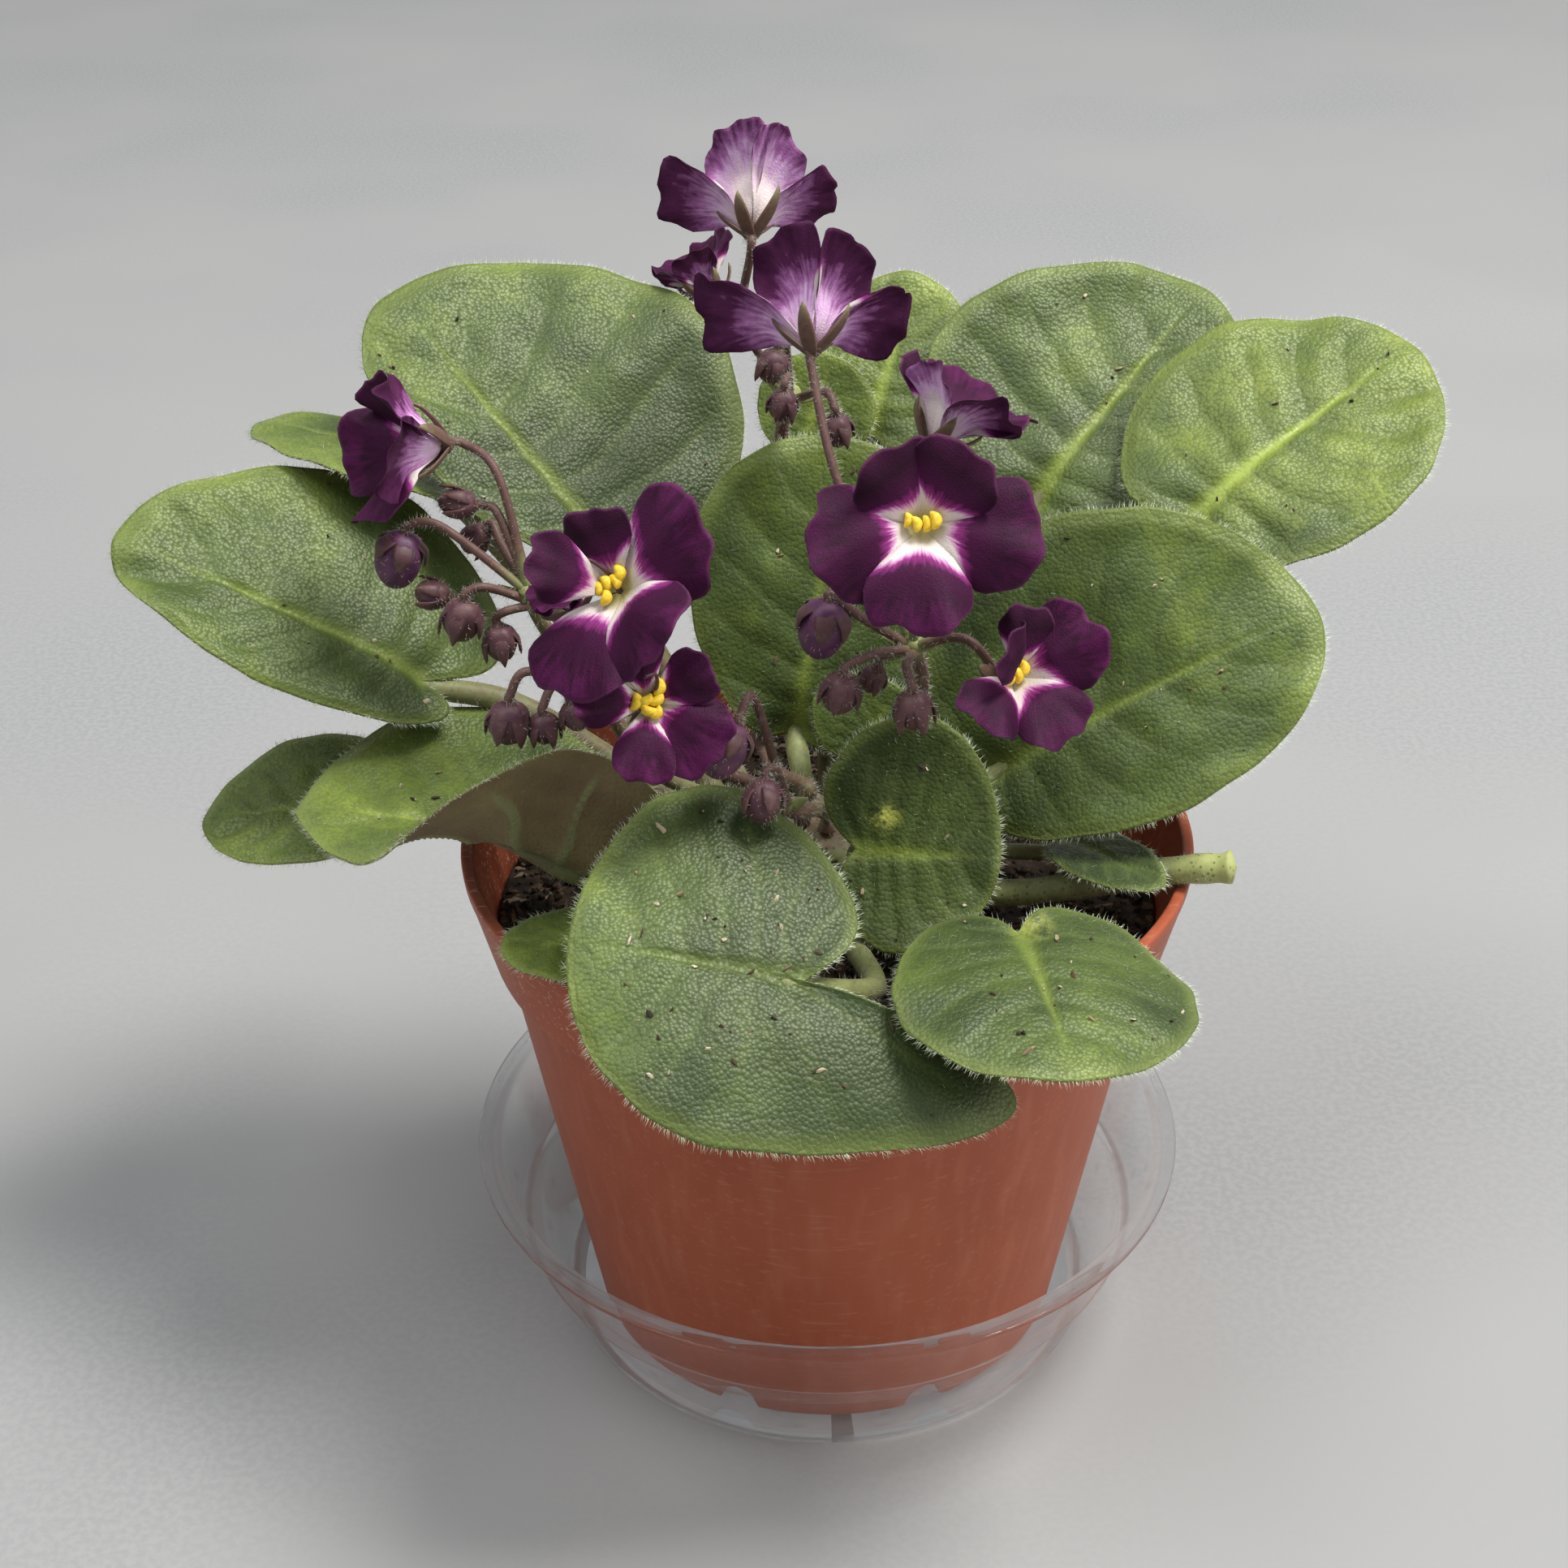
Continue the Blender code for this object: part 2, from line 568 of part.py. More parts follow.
def egg(name, centre, axis, length, width, material, around=8, rings=5):
    """An egg-shaped solid with its long axis along a direction."""
    ball = bmesh.new()
    bmesh.ops.create_uvsphere(ball, u_segments=around, v_segments=rings, radius=1.0)
    turn = Vector((0, 0, 1)).rotation_difference(unit(axis))
    for vertex in ball.verts:
        shape = Vector((vertex.co.x * width / 2, vertex.co.y * width / 2, vertex.co.z * length / 2))
        vertex.co = (Vector(centre) + turn @ shape) * MM
    mesh = bpy.data.meshes.new(name)
    ball.to_mesh(mesh)
    ball.free()
    return add_object(name, mesh, material)


ANTHER_LENGTH = 4.6
ANTHER_WIDTH = 2.8
ANTHER_RISE = 2.0  # height of the sacs' middle over the throat's floor


def make_anthers(name, flower):
    """The pair of pollen sacs, as one closed oval that sits over the throat."""
    looks = unit(flower["looks"])
    centre = Vector(flower["throat"]) - looks * (THROAT_DEPTH - SEAT_GAP - ANTHER_RISE)
    side = unit(Vector(flower["upper"]).cross(looks))
    return egg(name, centre, side, ANTHER_LENGTH, ANTHER_WIDTH, POLLEN, around=6, rings=4)


# ---- flower stalks and buds ---------------------------------------------------------------------------
# Each stalk: its route from the top of the crown to its fork, the flowers it carries with a point their
# pedicel passes, and its buds with the bud's centre, width, length, axis and the point its pedicel passes.
STALKS = [
    dict(
        route=[(-7, 1, 96.6), (-7.5, 1, 99.5), (-20, 0, 106), (-36, -1, 118), (-44, -3, 133), (-46, -4, 140)],
        flowers=[(0, (-50, 2, 156))],
        buds=[
            ((-66, 0, 143), 7.6, 9.0, (-0.3, 0, -0.95), (-59, -1, 149)),
            ((-56.5, 2, 151.5), 4.6, 6.0, (-0.95, 0, 0.1), (-50, 0, 150)),
            ((-54.5, 4, 144.5), 4.4, 5.5, (-0.7, 0.1, -0.7), (-50, 1, 144.5)),
            ((-61, -2, 138), 4.6, 5.5, (-0.95, 0, 0.2), (-53, -4, 140)),
            ((-56, -7, 136), 6.2, 7.0, (-0.2, 0, -0.95), (-52, -6, 141)),
            ((-50.5, -6, 131.5), 5.4, 6.0, (0.1, -0.1, -0.95), (-49, -6, 137)),
        ],
    ),
    dict(
        route=[
            (-4, -3, 96.6), (-4.4, -3.3, 99.5), (-13, -10, 104),
            (-26, -17, 114), (-33, -19, 126), (-35, -19, 130),
        ],
        flowers=[(1, (-33, -22, 141)), (2, (-31, -28, 131)), (9, (-38, -15, 137))],
        buds=[
            ((-47.5, -27, 129), 6.4, 6.8, (-0.1, 0, -0.95), (-44, -25, 136.5)),
            ((-42.3, -27, 128), 4.6, 5.0, (0, 0, -1), (-40, -24, 134)),
            ((-37.7, -26, 129.5), 4.4, 4.8, (0.2, 0, -0.95), (-37.5, -23, 133.5)),
        ],
    ),
    dict(
        route=[(0, -5.5, 96.6), (0, -5.8, 99.5), (-2, -13, 105), (-5, -22, 110), (-7, -25, 113)],
        flowers=[],
        buds=[
            ((-15.5, -35, 128.5), 6.8, 8.6, (-0.4, -0.3, -0.8), (-11, -30, 134)),
            ((-10, -36, 120.5), 6.0, 6.6, (-0.1, -0.5, -0.8), (-8, -32, 123)),
        ],
    ),
    dict(
        route=[
            (6, -1.5, 96.6), (6.2, -1.5, 99.5), (11, -1.5, 108),
            (14, -4, 117), (14.5, -11, 127), (12.5, -20, 138),
        ],
        flowers=[(6, (12.5, -20, 152)), (8, (20, -25, 141)), (7, (15, -12, 155)), (3, (2, -10, 158))],
        buds=[
            ((-1, -25, 143), 7.4, 9.0, (-0.2, 0, -0.95), (5, -24, 144)),
            ((1.5, -29, 134.5), 5.8, 6.6, (-0.2, 0, -0.95), (7, -27, 140)),
            ((12, -33.5, 134), 5.6, 6.2, (0.1, 0, -0.95), (11, -29, 139)),
            ((6.5, -21, 132.5), 4.0, 4.6, (-0.3, 0.1, -0.9), (8, -22, 137)),
        ],
    ),
    dict(
        route=[
            (-3, 5, 96.6), (-3.2, 5.2, 98.5), (-9.5, 15, 98),
            (-13, 30, 109), (-8, 37, 135), (-6.5, 37.5, 149), (-5, 30, 158),
        ],
        flowers=[(4, (-12.5, 28, 170)), (5, (-9, 46, 163))],
        buds=[
            ((-8, 22, 165.5), 5.0, 5.6, (-0.3, 0, -0.9), (-6, 23, 170)),
            ((-6.5, 18, 160.5), 4.6, 5.2, (-0.1, 0, -0.95), (-5.5, 21, 164)),
            ((2, 16, 157), 5.0, 5.4, (0.1, 0, -0.95), (0, 20, 162)),
        ],
    ),
]
STALK_RADIUS = 1.3
PEDICEL_RADIUS = 0.75
CALYX_RADIUS = 1.7


def make_stalk(number, stalk, bud_number):
    """Main stalk, with pedicels grown on at its fork; each pedicel ends just short of its flower or bud."""
    name = f"flower_stalk_{number}"
    radii = (STALK_RADIUS, STALK_RADIUS * 0.9, STALK_RADIUS)
    carrier = add_object(name, tube_mesh(name, stalk["route"], radii, samples=8), STALK)
    fork = Vector(stalk["route"][-1])
    below = unit(Vector(stalk["route"][-2]) - fork)
    pedicels = []
    heads = len(stalk["flowers"]) + len(stalk["buds"])
    for count, (flower_index, passes) in enumerate(stalk["flowers"]):
        flower = FLOWERS[flower_index]
        looks = unit(flower["looks"])
        end = Vector(flower["throat"]) - looks * (THROAT_DEPTH + PETAL_THICKNESS + SEAT_GAP)
        start = fork + below * (0.8 + 3.0 * count / heads)
        route = [start, passes, end - looks * 3.0, end]
        radii = (PEDICEL_RADIUS, PEDICEL_RADIUS, PEDICEL_RADIUS, PEDICEL_RADIUS, CALYX_RADIUS)
        pedicels.append(tube_mesh(f"{name}_pedicel_{count}", route, radii, samples=8))
    for count, (centre, width, length, axis, passes) in enumerate(stalk["buds"], len(pedicels)):
        axis = unit(axis)
        end = Vector(centre) - axis * (length / 2 + SEAT_GAP)
        start = fork + below * (0.8 + 3.0 * count / heads)
        route = [start, passes, end - axis * 1.5, end]
        radii = (PEDICEL_RADIUS, PEDICEL_RADIUS * 0.8, PEDICEL_RADIUS)
        pedicels.append(tube_mesh(f"{name}_pedicel_{count}", route, radii, samples=7))
        egg(f"bud_{bud_number:02d}", centre, axis, length, width, BUD)
        bud_number += 1
    join_into(carrier, pedicels)
    return bud_number


# ---- assembly -----------------------------------------------------------------------------------------
make_saucer()
make_pot()
make_soil()
make_crown()
for leaf_number, leaf_design in enumerate(LEAVES, 1):
    make_leaf(f"leaf_{leaf_number:02d}", leaf_design)
make_cut_petiole()

anther_number = 1
for flower_number, flower_design in enumerate(FLOWERS, 1):
    make_corolla(f"corolla_{flower_number:02d}", flower_design)
    if flower_design["anthers"]:
        make_anthers(f"anthers_{anther_number}", flower_design)
        anther_number += 1

next_bud = 1
for stalk_number, stalk_design in enumerate(STALKS, 1):
    next_bud = make_stalk(stalk_number, stalk_design, next_bud)
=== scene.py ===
"""A potted African violet in flower: a clear saucer, a terracotta-coloured plastic pot, potting mix, and the
plant with its hairy leaves, flower stalks, flowers and buds.

Lengths in the tables are millimetres and MM turns them into metres. +Z is up and the front is -Y.
"""

from math import cos, pi, radians, sin

import bpy
import numpy as np
from mathutils import Matrix, Vector


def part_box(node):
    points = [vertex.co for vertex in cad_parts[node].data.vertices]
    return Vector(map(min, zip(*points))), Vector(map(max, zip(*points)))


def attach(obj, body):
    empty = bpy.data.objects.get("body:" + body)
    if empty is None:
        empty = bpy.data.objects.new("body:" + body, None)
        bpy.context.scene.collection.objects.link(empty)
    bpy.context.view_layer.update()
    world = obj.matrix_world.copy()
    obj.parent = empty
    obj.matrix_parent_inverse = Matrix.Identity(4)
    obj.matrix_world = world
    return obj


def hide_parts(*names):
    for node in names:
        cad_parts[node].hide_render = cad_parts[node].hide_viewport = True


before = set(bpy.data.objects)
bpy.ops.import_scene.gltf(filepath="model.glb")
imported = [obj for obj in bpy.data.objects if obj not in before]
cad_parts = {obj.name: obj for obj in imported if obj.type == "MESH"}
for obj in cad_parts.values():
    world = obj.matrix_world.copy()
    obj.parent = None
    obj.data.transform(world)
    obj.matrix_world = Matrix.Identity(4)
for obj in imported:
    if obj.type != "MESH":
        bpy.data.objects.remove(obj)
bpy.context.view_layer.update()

MM = 0.001


# ---- where it stands ----------------------------------------------------------------------------------
# The plant stands on a pale matte paper floor. A soft square light hangs over it on the right, weaker ones
# stand low at the right and high at the left, and the room is bright all round.

floor_mesh = bpy.data.meshes.new("paper_floor")
REACH = 3.0
corners = np.array([(-1, -1, 0), (1, -1, 0), (1, 1, 0), (-1, 1, 0)], float) * REACH
floor_mesh.from_pydata(corners.tolist(), [], [(0, 1, 2, 3)])
paper_floor = bpy.data.objects.new("paper_floor", floor_mesh)
bpy.context.scene.collection.objects.link(paper_floor)


class Shade:
    """A shader socket to do sums with: each operator on it adds a Math node, and node() adds any other."""

    def __init__(self, tree, socket=None):
        self.tree = tree
        self.socket = socket

    def node(self, kind, inputs, output=0, stops=None, **settings):
        """Adds a node: its settings first, then the values or links of its sockets."""
        made = self.tree.nodes.new(kind)
        for setting, value in settings.items():
            setattr(made, setting, value)
        if stops:
            ramp = made.color_ramp
            while len(ramp.elements) < len(stops):
                ramp.elements.new(0.5)
            for element, (place, colour) in zip(ramp.elements, stops):
                element.position = place
                element.color = (*colour, 1.0)
        for place, value in inputs.items():
            if isinstance(value, Shade):
                self.tree.links.new(value.socket, made.inputs[place])
            elif isinstance(value, tuple) and len(value) == 3 and len(made.inputs[place].default_value) == 4:
                made.inputs[place].default_value = (*value, 1.0)
            else:
                made.inputs[place].default_value = value
        return Shade(self.tree, made.outputs[output])

    def math(self, operation, *values, clamp=False):
        return self.node("ShaderNodeMath", dict(enumerate(values)), operation=operation, use_clamp=clamp)

    def __add__(self, other):
        return self.math("ADD", self, other)

    __radd__ = __add__

    def __sub__(self, other):
        return self.math("SUBTRACT", self, other)

    def __rsub__(self, other):
        return self.math("SUBTRACT", other, self)

    def __mul__(self, other):
        return self.math("MULTIPLY", self, other)

    __rmul__ = __mul__

    def __truediv__(self, other):
        return self.math("DIVIDE", self, other)

    def __pow__(self, other):
        return self.math("POWER", self, other)

    def ramp(self, low, high):
        """0 below low, 1 above high, and a smooth step between."""
        inputs = {0: self, 1: low, 2: high, 3: 0.0, 4: 1.0}
        return self.node("ShaderNodeMapRange", inputs, interpolation_type="SMOOTHSTEP")

    def mix(self, first, second):
        """The colour that goes from first to second as this value goes from 0 to 1."""
        return self.node("ShaderNodeMix", {0: self, 6: first, 7: second}, output=2, data_type="RGBA")

    def attribute(self, name):
        return self.node("ShaderNodeAttribute", {}, output=2, attribute_name=name)

    def noise(self, places, size, detail=2.0, roughness=0.5, distortion=0.0):
        """Cloudy noise whose lumps are size millimetres across."""
        inputs = {"Vector": places, "Scale": 1 / (size * MM), "Detail": detail, "Roughness": roughness}
        inputs["Distortion"] = distortion
        return self.node("ShaderNodeTexNoise", inputs)

    def cells(self, places, size, **settings):
        """Distance from the middle of rounded cells that are size millimetres across."""
        inputs = {"Vector": places, "Scale": 1 / (size * MM)}
        return self.node("ShaderNodeTexVoronoi", inputs, **settings)

    def bump(self, height, strength, distance):
        inputs = {"Height": height, "Strength": strength, "Distance": distance * MM}
        return self.node("ShaderNodeBump", inputs)


def new_finish(name, **constants):
    """A Principled material with its constants set, its shader, a Shade, and the places on the piece."""
    material = bpy.data.materials.new(name)
    material.use_nodes = True
    shader = material.node_tree.nodes["Principled BSDF"]
    for socket, value in constants.items():
        shader.inputs[socket.replace("_", " ")].default_value = value
    s = Shade(material.node_tree)
    return material, shader, s, s.node("ShaderNodeTexCoord", {}, output=3)


def plug(shader, **sockets):
    """Links the sockets that vary over the surface."""
    for socket, value in sockets.items():
        value.tree.links.new(value.socket, shader.inputs[socket.replace("_", " ")])


paper, shader, s, places = new_finish("grey_paper", Roughness=0.9, Specular_IOR_Level=0.2)
grain = s.noise(places, 1.4, detail=3.0)
clouds = s.noise(places, 160.0)
tone = clouds.ramp(0.3, 0.7).mix((0.290, 0.293, 0.297), (0.345, 0.344, 0.336))
tone = grain.ramp(0.35, 0.65).mix(tone, (0.330, 0.331, 0.328))
plug(shader, Base_Color=tone, Normal=s.bump(grain, 0.15, 0.2))
floor_mesh.materials.append(paper)

LENS = 55.9
TILT = radians(30.6)
ROLL = radians(0.6)
AIM = (-6.9 * MM, 0.0, 102.0 * MM)
DISTANCE = 397.0 * MM
camera_data = bpy.data.cameras.new("camera")
camera_data.lens = LENS
camera_data.sensor_width = 36.0
camera = bpy.data.objects.new("camera", camera_data)
bpy.context.scene.collection.objects.link(camera)
place = Matrix.Translation((AIM[0], AIM[1] - DISTANCE * cos(TILT), AIM[2] + DISTANCE * sin(TILT)))
camera.matrix_world = place @ Matrix.Rotation(pi / 2 - TILT, 4, "X") @ Matrix.Rotation(-ROLL, 4, "Z")
bpy.context.scene.camera = camera


def soft_light(name, place, aim, width, watts, colour):
    """A square area light that looks from its place at a point."""
    light = bpy.data.lights.new(name, "AREA")
    light.size = width
    light.energy = watts
    light.color = colour
    lamp = bpy.data.objects.new(name, light)
    lamp.location = place
    lamp.rotation_euler = (Vector(place) - Vector(aim)).to_track_quat("Z", "Y").to_euler()
    bpy.context.scene.collection.objects.link(lamp)


MIDDLE = (0, 0, 0.08)
soft_light("overhead", (0.80, 0.0, 2.0), MIDDLE, 0.65, 48.0, (1.0, 0.985, 0.96))
soft_light("side", (1.7, -0.6, 0.9), MIDDLE, 0.9, 10.5, (1.0, 0.98, 0.95))
soft_light("left", (-0.7, -0.35, 1.9), MIDDLE, 1.0, 15.0, (0.97, 0.985, 1.0))
room = bpy.data.worlds.new("room")
room.use_nodes = True
room.node_tree.nodes["Background"].inputs["Color"].default_value = (0.93, 0.96, 1.0, 1.0)
room.node_tree.nodes["Background"].inputs["Strength"].default_value = 0.44
bpy.context.scene.world = room
bpy.context.scene.view_settings.view_transform = "Standard"


# ---- saucer -------------------------------------------------------------------------------------------
# A drip saucer of clear polystyrene, vacuum formed in one piece: a flat floor, a wall that flares in two
# steps, and a narrow flat lip. Handling and hard water leave faint marks on it.

TURN_SIDES = 144


def rounded(profile, radius, samples=5):
    """Rounds the corners of a (radius, height) profile: each becomes a short parabola between its edges."""
    points = np.array(profile, float)
    before, corner, after = points[:-2], points[1:-1], points[2:]
    steps = np.linspace(0, 1, samples)[None, :, None]
    back, ahead = before - corner, after - corner
    back_length = np.linalg.norm(back, axis=1, keepdims=True)
    ahead_length = np.linalg.norm(ahead, axis=1, keepdims=True)
    start = corner + back / back_length * np.minimum(radius, 0.45 * back_length)
    end = corner + ahead / ahead_length * np.minimum(radius, 0.45 * ahead_length)
    start, middle, end = start[:, None], corner[:, None], end[:, None]
    curve = (1 - steps) ** 2 * start + 2 * steps * (1 - steps) * middle + steps**2 * end
    return np.vstack([points[:1], curve.reshape(-1, 2), points[-1:]])


def full_turn(sides):
    """Even angles once round, without the last, which is the first again."""
    return np.linspace(0, 2 * pi, sides, endpoint=False)


def strip_faces(rows, columns, closed=True):
    """Quads of a grid of points, row by row; closed joins its last column to its first."""
    row = np.arange(rows - 1)[:, None] * columns
    column = np.arange(columns if closed else columns - 1)[None, :]
    after = (column + 1) % columns
    quads = [row + column, row + after, row + columns + after, row + columns + column]
    return np.stack(np.broadcast_arrays(*quads), axis=-1).reshape(-1, 4)


def ring_faces(rings, sides, outwards=True):
    """Quads between stacked rings, and fans to the last two points, which close the two ends."""
    side = np.arange(sides)
    after = (side + 1) % sides
    count = rings * sides
    last = count - sides
    near = np.stack([after, side, side * 0 + count], axis=1)
    far = np.stack([last + side, last + after, side * 0 + count + 1], axis=1)
    faces = [*strip_faces(rings, sides).tolist(), *near.tolist(), *far.tolist()]
    return faces if outwards else [face[::-1] for face in faces]


def top_corner(node):
    """The highest corner of a node's box, in millimetres."""
    return np.array(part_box(node)[1]) / MM


def piece(name, points, faces, material, node=None, attributes=None, smooth=True):
    """Makes a mesh object from points in millimetres, with its attributes, puts it under the root body, and
    hides the CAD node it replaces.
    """
    mesh = bpy.data.meshes.new(name)
    mesh.from_pydata((np.asarray(points) * MM).tolist(), [], [tuple(face) for face in faces])
    for attribute, values in (attributes or {}).items():
        layer = mesh.attributes.new(attribute, "FLOAT", "POINT")
        layer.data.foreach_set("value", np.asarray(values, np.float32))
    if smooth:
        mesh.shade_smooth()
    mesh.materials.append(material)
    made = bpy.data.objects.new(name, mesh)
    bpy.context.scene.collection.objects.link(made)
    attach(made, "root")
    if node:
        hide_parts(node)
    return made


def revolve(profile, change=None, outwards=True):
    """Turns a (radius, height) profile that starts and ends on the axis about Z, into points and faces.

    Each point becomes a ring, (r cos a, r sin a, z), except the first and last, which are single points.
    change may alter radii and heights as a function of the angle. outwards is False where the profile runs
    from the inside over the top to the outside.
    """
    turn = full_turn(TURN_SIDES)
    radius, height = (np.repeat(profile[1:-1, [column]], TURN_SIDES, axis=1) for column in (0, 1))
    if change:
        radius, height = change(radius, height, turn)
    rings = np.stack([radius * np.cos(turn), radius * np.sin(turn), height], axis=-1)
    points = np.vstack([rings.reshape(-1, 3), (0, 0, profile[0, 1]), (0, 0, profile[-1, 1])])
    return points, ring_faces(len(profile) - 2, TURN_SIDES, outwards)


SAUCER_RIM, _, SAUCER_TOP = top_corner("saucer")
SAUCER_WALL = 1.1
SAUCER_FLOOR = 1.4
SAUCER_FOOT = 45.6
SAUCER_STEP = 53.0
STEP_TOP = 17.5
SAUCER_LIP = 3.0
LIP_INNER = SAUCER_RIM - SAUCER_LIP
saucer_profile = [
    (0, SAUCER_FLOOR),
    (SAUCER_FOOT - 1.4, SAUCER_FLOOR),
    (SAUCER_FOOT + 0.2, SAUCER_FLOOR + 2.2),
    (SAUCER_STEP - SAUCER_WALL - 0.5, STEP_TOP),
    (SAUCER_STEP - 0.1, STEP_TOP + 0.8),
    (LIP_INNER - SAUCER_WALL, SAUCER_TOP - 0.8),
    (LIP_INNER + 0.2, SAUCER_TOP),
    (SAUCER_RIM - 0.1, SAUCER_TOP - 0.15),
    (SAUCER_RIM, SAUCER_TOP - SAUCER_WALL),
    (LIP_INNER + 0.6, SAUCER_TOP - SAUCER_WALL - 0.1),
    (SAUCER_STEP + SAUCER_WALL, STEP_TOP),
    (SAUCER_STEP, STEP_TOP - 0.9),
    (SAUCER_FOOT + 1.2, 1.2),
    (SAUCER_FOOT - 0.4, 0),
    (0, 0),
]
clear_plastic, shader, s, places = new_finish("clear_polystyrene", IOR=1.3, Transmission_Weight=1.0)
marks = s.noise(places, 9.0, detail=4.0, roughness=0.65).ramp(0.56, 0.72)
drops = 1 - s.cells(places, 7.0).ramp(0.10, 0.24)
waves = s.noise(places, 22.0, detail=1.0)
# edge paints whitish lines at the bends: painted reflection.
edge = s.attribute("edge")
plug(
    shader,
    Base_Color=marks.mix((0.97, 0.975, 0.98), (0.86, 0.86, 0.85)),
    Roughness=0.03 + marks * 0.16 + drops * 0.10,
    Alpha=0.12 + edge * 0.62 + marks * 0.06 + drops * 0.10,
    Normal=s.bump(waves + drops * 0.05, 0.25, 0.8),
)
# The bends, where the plastic is seen on edge, are painted more opaque and white than the flat walls: a
# painted reflection, the bright lines that edge-on plastic shows in the light. edge is a bell round each.
points, faces = revolve(rounded(saucer_profile, 0.9), outwards=False)
bends = [(SAUCER_TOP - 0.4, 0.7, 1.0), (STEP_TOP, 0.9, 0.8), (1.2, 1.4, 0.4)]
edge = sum(amount * np.exp(-(((points[:, 2] - height) / width) ** 2)) for height, width, amount in bends)
edge = edge * (np.hypot(points[:, 0], points[:, 1]) > SAUCER_FOOT - 4)
values = {"edge": np.minimum(edge, 1)}
piece("clear_saucer", points, faces, clear_plastic, "saucer", values)


# ---- pot ----------------------------------------------------------------------------------------------
# An injection-moulded nursery pot in terracotta-coloured polypropylene: a thin tapered wall, a rim band that
# steps outwards, a floor on a foot ring, and drain notches round the foot. It is scuffed at the rim.

POT_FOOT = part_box("pot")[0][2] / MM
POT_RIM, _, POT_TOP = top_corner("pot")
POT_WALL = 1.5
BAND_BOTTOM = POT_TOP - 17.0
BODY_TOP = 54.0
BODY_FOOT = 41.0
BAND_FOOT = BODY_TOP + 2.0
FLOOR_TOP = POT_FOOT + 4.5
BODY_SLOPE = (BODY_TOP - BODY_FOOT) / (BAND_BOTTOM - POT_FOOT)
NOTCHES = 8
NOTCH_HEIGHT = 4.6
NOTCH_HALF_ANGLE = 3.2 / BODY_FOOT


def inner_radius(height):
    return BODY_FOOT + BODY_SLOPE * (height - POT_FOOT) - POT_WALL


pot_profile = [
    (0, FLOOR_TOP),
    (inner_radius(FLOOR_TOP) - 1.0, FLOOR_TOP),
    (inner_radius(FLOOR_TOP + 2), FLOOR_TOP + 2),
    (BODY_TOP - POT_WALL, BAND_BOTTOM),
    (BAND_FOOT - POT_WALL, BAND_BOTTOM + 1.5),
    (POT_RIM - POT_WALL - 0.6, POT_TOP - 2.0),
    (POT_RIM - POT_WALL - 0.4, POT_TOP),
    (POT_RIM, POT_TOP),
    (POT_RIM - 0.2, POT_TOP - 2.4),
    (POT_RIM - 0.5, POT_TOP - 3.0),
    (BAND_FOOT, BAND_BOTTOM),
    (BODY_TOP, BAND_BOTTOM - 0.9),
    (BODY_FOOT + BODY_SLOPE * 4.0, POT_FOOT + 4.0),
    (BODY_FOOT + BODY_SLOPE * 2.0, POT_FOOT + 2.0),
    (BODY_FOOT, POT_FOOT),
    (BODY_FOOT - POT_WALL, POT_FOOT),
    (BODY_FOOT - POT_WALL - 0.4, FLOOR_TOP - POT_WALL),
    (0, FLOOR_TOP - POT_WALL),
]


def cut_notches(radius, height, turn):
    """Raises the foot ring's lower edge to the floor's underside at each of the evenly spaced notches."""
    from_notch = np.abs((turn / (2 * pi) * NOTCHES) % 1 - 0.5) / NOTCHES * 2 * pi
    arch = np.sqrt(np.clip(1 - (from_notch / NOTCH_HALF_ANGLE) ** 2, 0, 1))
    lowest = POT_FOOT + NOTCH_HEIGHT * arch
    on_ring = radius > BODY_FOOT - POT_WALL - 0.8
    return radius, np.where(on_ring, np.maximum(height, lowest), height)


terracotta, shader, s, places = new_finish("terracotta_polypropylene", Specular_IOR_Level=0.25)
height = s.node("ShaderNodeSeparateXYZ", {0: places}, output=2) * (1 / MM)
sideways = s.node("ShaderNodeSeparateXYZ", {0: places}, output=0) * (1 / MM)
clouds = s.noise(places, 30.0, detail=3.0)
fine = s.noise(places, 0.7, detail=2.0)
stretched = s.node("ShaderNodeMapping", {0: places, 3: (1.0, 1.0, 0.12)})
streaks = s.noise(stretched, 3.0, detail=3.0)
turned = s.node("ShaderNodeMapping", {0: places, 2: (0.4, 0.9, 0.5), 3: (0.08, 1.0, 1.0)})
hairline = s.noise(turned, 0.8, detail=2.0, roughness=0.6, distortion=0.6)
on_rim = height.ramp(68.0, 84.0) * (1 - sideways.ramp(-46.0, -28.0))
scratches = hairline.ramp(0.60, 0.66) * (0.12 + on_rim * 0.75)
dust = s.noise(places, 2.2, detail=4.0, roughness=0.7).ramp(0.58, 0.74) * (1 - height.ramp(6.0, 26.0))
colour = clouds.ramp(0.3, 0.7).mix((0.33, 0.074, 0.031), (0.38, 0.092, 0.041))
colour = (streaks.ramp(0.45, 0.75) * 0.35).mix(colour, (0.46, 0.15, 0.08))
colour = scratches.mix(colour, (0.62, 0.36, 0.26))
colour = (dust * 0.6).mix(colour, (0.30, 0.16, 0.09))
plug(
    shader,
    Base_Color=colour,
    Roughness=0.40 + clouds * 0.12 + scratches * 0.15,
    Normal=s.bump(fine * 0.5 + streaks * 0.3 - scratches * 0.5, 0.22, 0.15),
)
points, faces = revolve(rounded(pot_profile, 0.7), cut_notches, outwards=False)
piece("plastic_pot", points, faces, terracotta, "pot")


# ---- potting mix --------------------------------------------------------------------------------------
# Dark peat with crumbs of bark and a few pale grains. It fills the pot to about a finger's width below the
# rim, and stands a little higher round the crown.

SOIL_RADIUS, _, SOIL_TOP = top_corner("soil")
SOIL_SINK = 3.2


